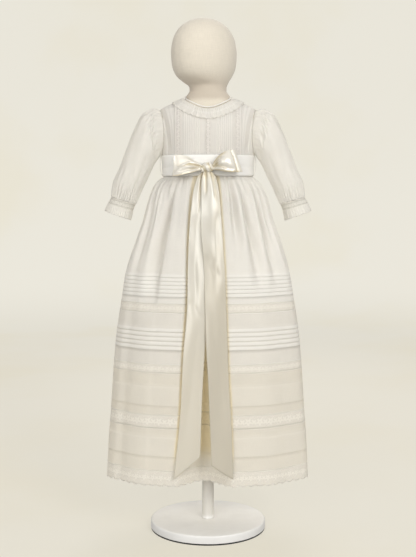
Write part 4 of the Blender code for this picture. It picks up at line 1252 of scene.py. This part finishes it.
def buildSash(s):
    angle = roundAngles(s["columns"])[None]
    z = np.linspace(s["bottom"] + 0.0002, s["top"] - 0.0002, s["rows"])[:, None]
    reach = bodyReach(angle, z) + s["clearance"] + 0.0006
    points = np.stack([reach * np.sin(angle), -reach * np.cos(angle), z + 0 * angle], axis=-1)
    degrees = np.degrees(halfTurns(angle))
    across = (z - s["bottom"]) / (s["top"] - s["bottom"]) + 0 * angle
    out = creases(degrees, across, s["creases"], 1 / 60)
    out = out - 0.0021 * ease(0.07, 0.0, across) - 0.0014 * ease(0.95, 1.0, across)
    points = pushed(points, True, out)
    uv = flatUv(points, True)[..., ::-1].copy()
    piece = gridPiece("sashBand", points, uv, finishes["sash"], True, None, wall=0.0006)
    return dress(piece, "satin", "sash_band")


def buildCarriers():
    # a thread loop at each side seam holds the sash
    for word, side in (("Left", -1), ("Right", 1)):
        top = Vector((side * (0.0945 + 0.0010), 0, 0.7945))
        low = Vector((side * (0.0925 + 0.0022), 0, 0.7500))
        line = []
        for i in range(25):
            t = i / 24
            p = top.lerp(low, t)
            p.x += side * 0.0046 * sin(pi * t) ** 0.5
            p.y = -0.004
            line.append(p)
        trailPiece(f"sashCarrier{word}", "stitch", [(line, False)], Pitch=0.0011, Length=0.0020,
                   Thickness=0.0012, Lean=0.5)


bow = {
    "knot": (-0.002, -0.0774, 0.765), "knotSize": (0.0138, 0.0086, 0.0098),
    # middle of the ribbon, its height there, how far its top edge leans sideways and back
    "loopLeft": mm([
        (-12, -80, 765.5, 10, 0, 0), (-24, -84.5, 766.5, 19, 1, 6), (-38, -89.5, 765.5, 25, 3, 12),
        (-53, -92, 761, 24, 6, 16), (-64, -87, 757.5, 20, 8, 18), (-69.8, -77.5, 761, 24, 4, 12),
        (-69.2, -70.2, 769.5, 36, 0, 3), (-60, -67.5, 772.5, 38, 0, 0), (-43, -68, 771.5, 34, 0, 0),
        (-28, -69.5, 768.5, 22, 0, 0), (-14, -71.5, 766, 12, 0, 0),
    ]),
    "loopRight": mm([
        (9, -80.5, 766.5, 11, 0, 0), (20, -90, 772.5, 26, -2, 4), (32, -94.5, 775.5, 38, -5, 6),
        (45, -91.5, 777.5, 44, -10, 6), (56, -85.5, 778.5, 45, -14, 3), (61.8, -78, 778.5, 44, -16, 0),
        (60.5, -70, 778.8, 44, -16, 0), (52, -65.5, 779, 43, -10, 0), (38, -67.5, 775.5, 34, -6, 0),
        (24, -70, 770, 22, -2, 0), (11, -71.5, 766, 12, 0, 0),
    ]),
    # creases of the front layer: share round the loop and place across it, half width, depth
    "loopCreases": {
        "bowLoopLeft": [((0.03, 0.10, 0.30, 0.16), 0.09, 0.0034), ((0.03, -0.12, 0.34, -0.20), 0.10, 0.0040),
                        ((0.10, 0.34, 0.40, 0.30), 0.08, 0.0024), ((0.12, 0.00, 0.44, -0.04), 0.09, -0.0020)],
        "bowLoopRight": [((0.03, 0.16, 0.20, 0.34), 0.07, 0.0036), ((0.03, -0.10, 0.24, -0.26), 0.08, 0.0036),
                         ((0.375, -0.56, 0.360, 0.56), 0.045, 0.0034),
                         ((0.03, 0.02, 0.16, 0.06), 0.05, 0.0034),
                         ((0.18, -0.30, 0.33, -0.36), 0.08, 0.0020)],
    },
    # painted shade where the loops fold, open and tuck under: share round the loop and place across it, half
    # width, amount
    "loopPaintedShade": {
        "bowLoopLeft": [((0.00, 0.20, 0.26, 0.24), 0.10, 0.75), ((0.00, -0.10, 0.20, -0.16), 0.10, 0.55),
                        ((0.04, -0.47, 0.46, -0.47), 0.07, 0.75), ((0.16, 0.30, 0.36, 0.26), 0.07, 0.45),
                        ((0.56, -0.30, 0.90, -0.10), 0.20, 0.35)],
        "bowLoopRight": [((0.00, 0.42, 0.26, 0.47), 0.09, 0.75), ((0.00, 0.05, 0.12, 0.05), 0.22, 0.85),
                         ((0.03, -0.47, 0.44, -0.47), 0.06, 0.75), ((0.375, -0.60, 0.355, 0.60), 0.035, 0.60),
                         ((0.10, -0.22, 0.24, -0.32), 0.07, 0.40)],
    },
    # left and right edge: heights, then places across, then how far forward
    "tailLeft": mm([
        (758, 758, -10.5, 1.5, -73.5), (748, 748, -20, 4.2, -74.5), (738, 738, -24, 5.5, -76.5),
        (715, 715, -30, 7, -82.5), (664, 664, -35.6, 8, -90.5), (569, 569, -40.8, 3.2, -97.5),
        (491, 491, -42, 2, -101), (383, 383, -50.3, -7, -104), (275, 275, -55.7, -12.9, -106),
        (184, 205, -64.5, -15, -107), (132, 179, -70.5, -16, -107.5),
    ]),
    "tailRight": mm([
        (758, 758, -8, 6.5, -79), (748, 748, -12, 15, -79.8), (738, 738, -13, 18, -81.5),
        (715, 715, -13.5, 22.5, -86.5), (653, 653, -14, 27.5, -95.5), (569, 569, -8.7, 33, -101.5),
        (491, 491, -6.5, 36.6, -105), (418, 418, -4.5, 39.2, -107), (329, 329, 0.6, 42.5, -108.5),
        (239, 239, 4.1, 47.7, -110), (163, 134.5, 6.6, 51, -111.5),
    ]),
}


def buildLoop(name, node, rows, pleats, phase, bulge):
    t = np.linspace(0, 1, 110)
    x, y, z, high, lean, tilt = readRows(rows, t)
    t = t[:, None]
    v = np.linspace(-0.5, 0.5, 36)[None]
    points = np.stack([x + lean * v, y + tilt * v, z + high * v], axis=-1)
    # pleats spread from the knot and fade towards the turn of the loop
    near = np.maximum(ease(0.30, 0.0, t), ease(0.70, 1.0, t))
    cup = bulge * (1 - (2 * v) ** 2) * ease(0.02, 0.20, t) * ease(0.46, 0.26, t)
    out = 0.0014 * near * np.cos(tau * pleats * (v + phase)) * ease(0.0, 0.05, t) * ease(1.0, 0.95, t)
    out = out + creases(t, v, bow["loopCreases"][name], 2.0)
    centre = points.mean((0, 1), keepdims=True)
    points = pushed(points, False, out + cup, centre)
    uv = flatUv(points, False)[..., ::-1].copy()
    # painted shade in the loop's creases, its opening and along its edges
    shade = -creases(t, v, bow["loopPaintedShade"][name], 2.0)
    piece = gridPiece(name, points, uv, finishes["satin"], layersAndPaintedShade=1 + np.clip(shade, 0, 1), inside=centre,
                      wall=0.0006, offset=0.0)
    return dress(piece, "satin", node)


def buildTail(name, node, rows, folds):
    # even steps down the ribbon: the table is read by its own heights
    heights = [(row[0] + row[1]) / 2 for row in rows]
    want = np.linspace(heights[0], heights[-1], 190)
    at = np.interp(-want, [-h for h in heights], np.linspace(0, 1, len(rows)))
    leftZ, rightZ, leftX, rightX, y = readRows(rows, at)
    v = np.linspace(0, 1, 26)[None]
    x = leftX + (rightX - leftX) * v
    z = leftZ + (rightZ - leftZ) * v
    drop = heights[0] - (leftZ + rightZ) / 2
    points = np.stack([x, y - 0.0012 * np.sin(pi * v), z + 0 * v], axis=-1)
    pinch = ease(0.10, 0.0, drop)
    out = 0.0006 * pinch * np.cos(tau * (1.4 * v + 0.2))
    out = out + 0.0012 * ease(0.02, 0.10, drop) * np.sin(tau * (v * 0.6 + drop * 3.1))
    out = out + 0.0006 * ease(0.03, 0.08, drop) * ease(0.34, 0.22, drop) * np.sin(tau * (drop * 9 - v * 0.8))
    out = out + creases((v - 0.5) * (rightX - leftX), drop, folds)
    ahead = points * (1, 0, 1) + (0, 1, 0)
    # painted shade in the creases near the top and just under the knot
    shade = np.clip(-out / 0.0036, 0, 0.7) * ease(0.13, 0.03, drop) + 0.45 * ease(0.022, 0.004, drop)
    points = pushed(points, False, out, ahead)
    uv = np.stack(np.broadcast_arrays(v * 0.044, drop + 0 * v), axis=-1)
    piece = gridPiece(name, points, uv, finishes[name], layersAndPaintedShade=1 + shade, inside=ahead, wall=0.0006,
                      offset=0.0)
    return dress(piece, "satin", node)


def buildKnot(s):
    cx, cy, cz = s["knot"]
    a, b, c = s["knotSize"]
    t = np.linspace(0.10, pi - 0.10, 48)[:, None]
    angle = roundAngles(64)[None]
    x = -np.cos(t)
    full = np.clip(1 - abs(x) ** 2.4, 0.0, 1) ** (1 / 2.2)
    slant = x + 0.45 * np.sin(angle)
    ridges = 1 + 0.11 * np.cos(tau * (1.15 * slant + 0.1)) + 0.045 * np.cos(tau * (2.6 * slant + 0.3))
    # painted shade in the knot's troughs and at its ends
    shade = np.clip((1.01 - ridges) / 0.13, 0, 0.8) + 0.6 * ease(0.72, 0.98, abs(x))
    reach = np.maximum(full * ridges, 0.02)
    points = np.stack([cx + a * x + 0.0015 * np.sin(angle) * (1 - x * x), cy - b * reach * np.cos(angle),
                       cz + c * reach * np.sin(angle) + 0.0012 * np.cos(pi * x)], axis=-1)
    piece = gridPiece("bowKnot", points, flatUv(points, True), finishes["satin"], True,
                      1 + np.clip(shade, 0, 1), np.array([[[cx, cy, cz]]]), wall=0.0006)
    return dress(piece, "satin", "bow_knot")


sashBand = buildSash(sash)
buildCarriers()
bowKnot = buildKnot(bow)
loopLeft = buildLoop("bowLoopLeft", "bow_loop_left", bow["loopLeft"], 2.5, 0.1, 0.0030)
loopRight = buildLoop("bowLoopRight", "bow_loop_right", bow["loopRight"], 2.2, 0.4, 0.0060)
tailLeft = buildTail("tailLeft", "tail_left", bow["tailLeft"], [
    ((-0.003, 0.00, -0.006, 0.09), 0.0030, 0.0026), ((0.007, 0.00, 0.012, 0.12), 0.0036, 0.0030),
    ((-0.012, 0.10, -0.004, 0.30), 0.0060, 0.0018), ((-0.018, 0.26, 0.010, 0.30), 0.0060, 0.0010),
    ((0.004, 0.30, -0.008, 0.52), 0.0080, 0.0016)])
tailRight = buildTail("tailRight", "tail_right", bow["tailRight"], [
    ((-0.005, 0.00, -0.009, 0.05), 0.0030, 0.0016), ((0.006, 0.00, 0.011, 0.06), 0.0030, 0.0016),
    ((0.010, 0.08, 0.002, 0.24), 0.0060, 0.0016), ((-0.014, 0.17, 0.014, 0.22), 0.0070, 0.0012),
    ((-0.008, 0.28, 0.008, 0.50), 0.0085, 0.0018)])
print("sash and bow built")


def warmBesideTails(reach=0.0042, rows=24):
    # painted warm light, as thrown back by the satin, on the front of the skirt behind the tails and just
    # past their outer edges
    tails = [(side, np.array([v.co for v in tail.data.vertices]))
             for side, tail in ((-1, tailLeft), (1, tailRight))]
    for piece in skirtStrips:
        points = np.array([v.co for v in piece.data.vertices])
        past = np.full(len(points), -1.0)
        cover = np.ones(len(points))
        for side, tail in tails:
            heights = np.linspace(tail[:, 2].min(), tail[:, 2].max(), rows)
            step = heights[1] - heights[0]
            edge = [(side * tail[abs(tail[:, 2] - z) < step, 0]).max() for z in heights]
            past = np.maximum(past, side * points[:, 0] - np.interp(points[:, 2], heights, edge))
            cover = cover * ease(heights[0] + 0.010, heights[0] + 0.060, points[:, 2])
        warm = cover * (1 - ease(0.0004, reach, past)) * (points[:, 1] < 0)
        marked(piece.data, "warm", warm)


warmBesideTails()
print("warm tint beside the tails set")


# the cloth as it was cut: piece, width and length, how it is held, what carries it, area if not a rectangle
form, under = ["formCover"], ["bodiceFront", "bodiceBackLeft", "bodiceBackRight"]
skirtWidth = 1.06

cuts = [
    (bodiceFront, (0.250, 0.160), "draped", form, 0.0380),
    *[(back, (0.130, 0.160), "draped", form, 0.0200) for back in bodiceBacks],
    (bodiceLaces[0], (0.0115, 0.131), "draped", ["bodiceFront"], None),
    *[(lace, (0.0150, 0.168), "draped", ["bodiceFront"], None) for lace in bodiceLaces[1:]],
    (neckBinding, (0.280, 0.010), "folded", under, 0.0013),
    (collarFrill, (0.504, 0.026), "gathered", under, None),
    (sashBand, (0.540, 0.044), "stretched", under, None),
    (bowKnot, (0.044, 0.050), "folded", ["sashBand"], None),
    (loopLeft, (0.044, 0.120), "folded", ["sashBand"], None),
    (loopRight, (0.044, 0.140), "folded", ["sashBand"], None),
    (tailLeft, (0.044, 0.615), "hung", ["bowKnot"], None),
    (tailRight, (0.044, 0.610), "hung", ["bowKnot"], None),
]
for arm, cuff in sleeves:
    cuts += [(arm, (0.300, 0.220), "gathered", under, 0.0560),
             (cuff, (0.200, 0.034), "gathered", [arm.name], None)]
above = under
for piece, length in zip(skirtStrips, (0.2775, 0.0185, 0.1059, 0.0175, 0.0861, 0.0285, 0.0876, 0.0330)):
    cuts.append((piece, (skirtWidth, length), "hung" if above is not under else "gathered", above, None))
    above = [piece.name]
print("cloth declared:", len(cuts), "sheets")


# floor, light and camera

studio = {
    "paper": (0.250, 0.241, 0.220), "glow": ((0.530, 0.506, 0.434), (0.662, 0.641, 0.568)),
    "floorRadius": 3.2, "wallRadius": 4.6, "wallHeight": 4.5,
    # light from overhead, from the sides and, warmer, from below
    "sky": ((1.00, 0.99, 0.98), (0.76, 0.75, 0.735), (0.60, 0.57, 0.51)), "worldStrength": 0.63,
    # place, aim, size, power, colour
    "lights": [
        ((1.6, -2.8, 1.9), (0, 0, 0.60), 1.6, 52, (1.0, 0.995, 0.980)),
        ((-1.1, -3.0, 1.2), (0, 0, 0.50), 1.8, 35, (1.0, 0.992, 0.970)),
        ((0.3, 1.9, 1.85), (0, 0, 0.50), 1.5, 19, (1.0, 0.97, 0.92)),
    ],
    "camera": (0.0, -2.1, 0.711), "tilt": 4.8, "lens": 64.63,
}


def buildStudio(s):
    # a round sweep of paper, so every side is seen against the same pale ground
    profile = [(0.001, 0.0)] + [(r, 0.0) for r in np.linspace(0.2, s["floorRadius"], 12)]
    bend = s["wallRadius"] - s["floorRadius"]
    profile += [(s["floorRadius"] + bend * sin(a), bend - bend * cos(a))
                for a in np.linspace(0.1, pi / 2, 16)]
    profile += [(s["wallRadius"], s["wallHeight"])]
    rings = lathe(profile, 96)
    f = Finish("studio paper", Roughness=0.95, Specular_IOR_Level=0.1)
    cloud = f.noise(1.3, 4)
    base = s["paper"]
    paper = f.blend(cloud.step(0.3, 0.75), base, [base[0] * 0.985, base[1] * 0.975, base[2] * 0.955])
    x, y, z = f.split(f.place())
    height = ((x * x + y * y).maths("SQRT") * 0.16 + z * 0.8).step(0.25, 0.80)
    patches = cloud.step(0.42, 0.72) * 0.8
    low, high = (f.blend(patches, c, [c[0] * 0.985, c[1] * 0.965, c[2] * 0.90]) for c in s["glow"])
    lift = f.blend(height, low, high)
    f.shader.inputs["Emission Strength"].default_value = 1.0
    f.feed(f.shader.inputs["Emission Color"], lift)
    f.done(paper)
    top = np.array([[[0, 0, 50.0]]])
    sweep = gridPiece("studioSweep", rings, flatUv(rings, True), f.material, True, None, 2 * rings - top,
                      wall=0)
    sweep.visible_diffuse = sweep.visible_shadow = sweep.visible_glossy = False
    world = bpy.data.worlds.new("studio")
    bpy.context.scene.world = world
    world.use_nodes = True
    nodesOf, link = world.node_tree.nodes, world.node_tree.links.new
    ground = nodesOf["Background"]
    ground.inputs["Strength"].default_value = s["worldStrength"]
    ways, split, span, ramp = (nodesOf.new(f"ShaderNode{kind}")
                               for kind in ("TexCoord", "SeparateXYZ", "MapRange", "ValToRGB"))
    span.inputs["From Min"].default_value = -1.0
    link(ways.outputs["Generated"], split.inputs[0])
    link(split.outputs[2], span.inputs["Value"])
    link(span.outputs[0], ramp.inputs[0])
    link(ramp.outputs[0], ground.inputs["Color"])
    over, side, under = s["sky"]
    ramp.color_ramp.elements[0].color = (*under, 1)
    ramp.color_ramp.elements[1].color = (*over, 1)
    ramp.color_ramp.elements.new(0.5).color = (*side, 1)
    for number, (place, aim, size, power, colour) in enumerate(s["lights"], start=1):
        light = bpy.data.lights.new(f"softbox {number}", "AREA")
        light.shape = "DISK"
        light.size, light.energy, light.color = size, power, colour
        lamp = linked(f"softbox {number}", light)
        lamp.location = place
        lamp.rotation_euler = (Vector(aim) - Vector(place)).to_track_quat("-Z", "Y").to_euler()
    view = bpy.data.cameras.new("camera")
    view.lens, view.sensor_width, view.sensor_fit = s["lens"], 36, "AUTO"
    eye = linked("camera", view)
    eye.location = s["camera"]
    eye.rotation_euler = (radians(90 - s["tilt"]), 0, 0)
    bpy.context.scene.camera = eye
    bpy.context.scene.view_settings.view_transform = "Standard"


buildStudio(studio)
print("studio built")
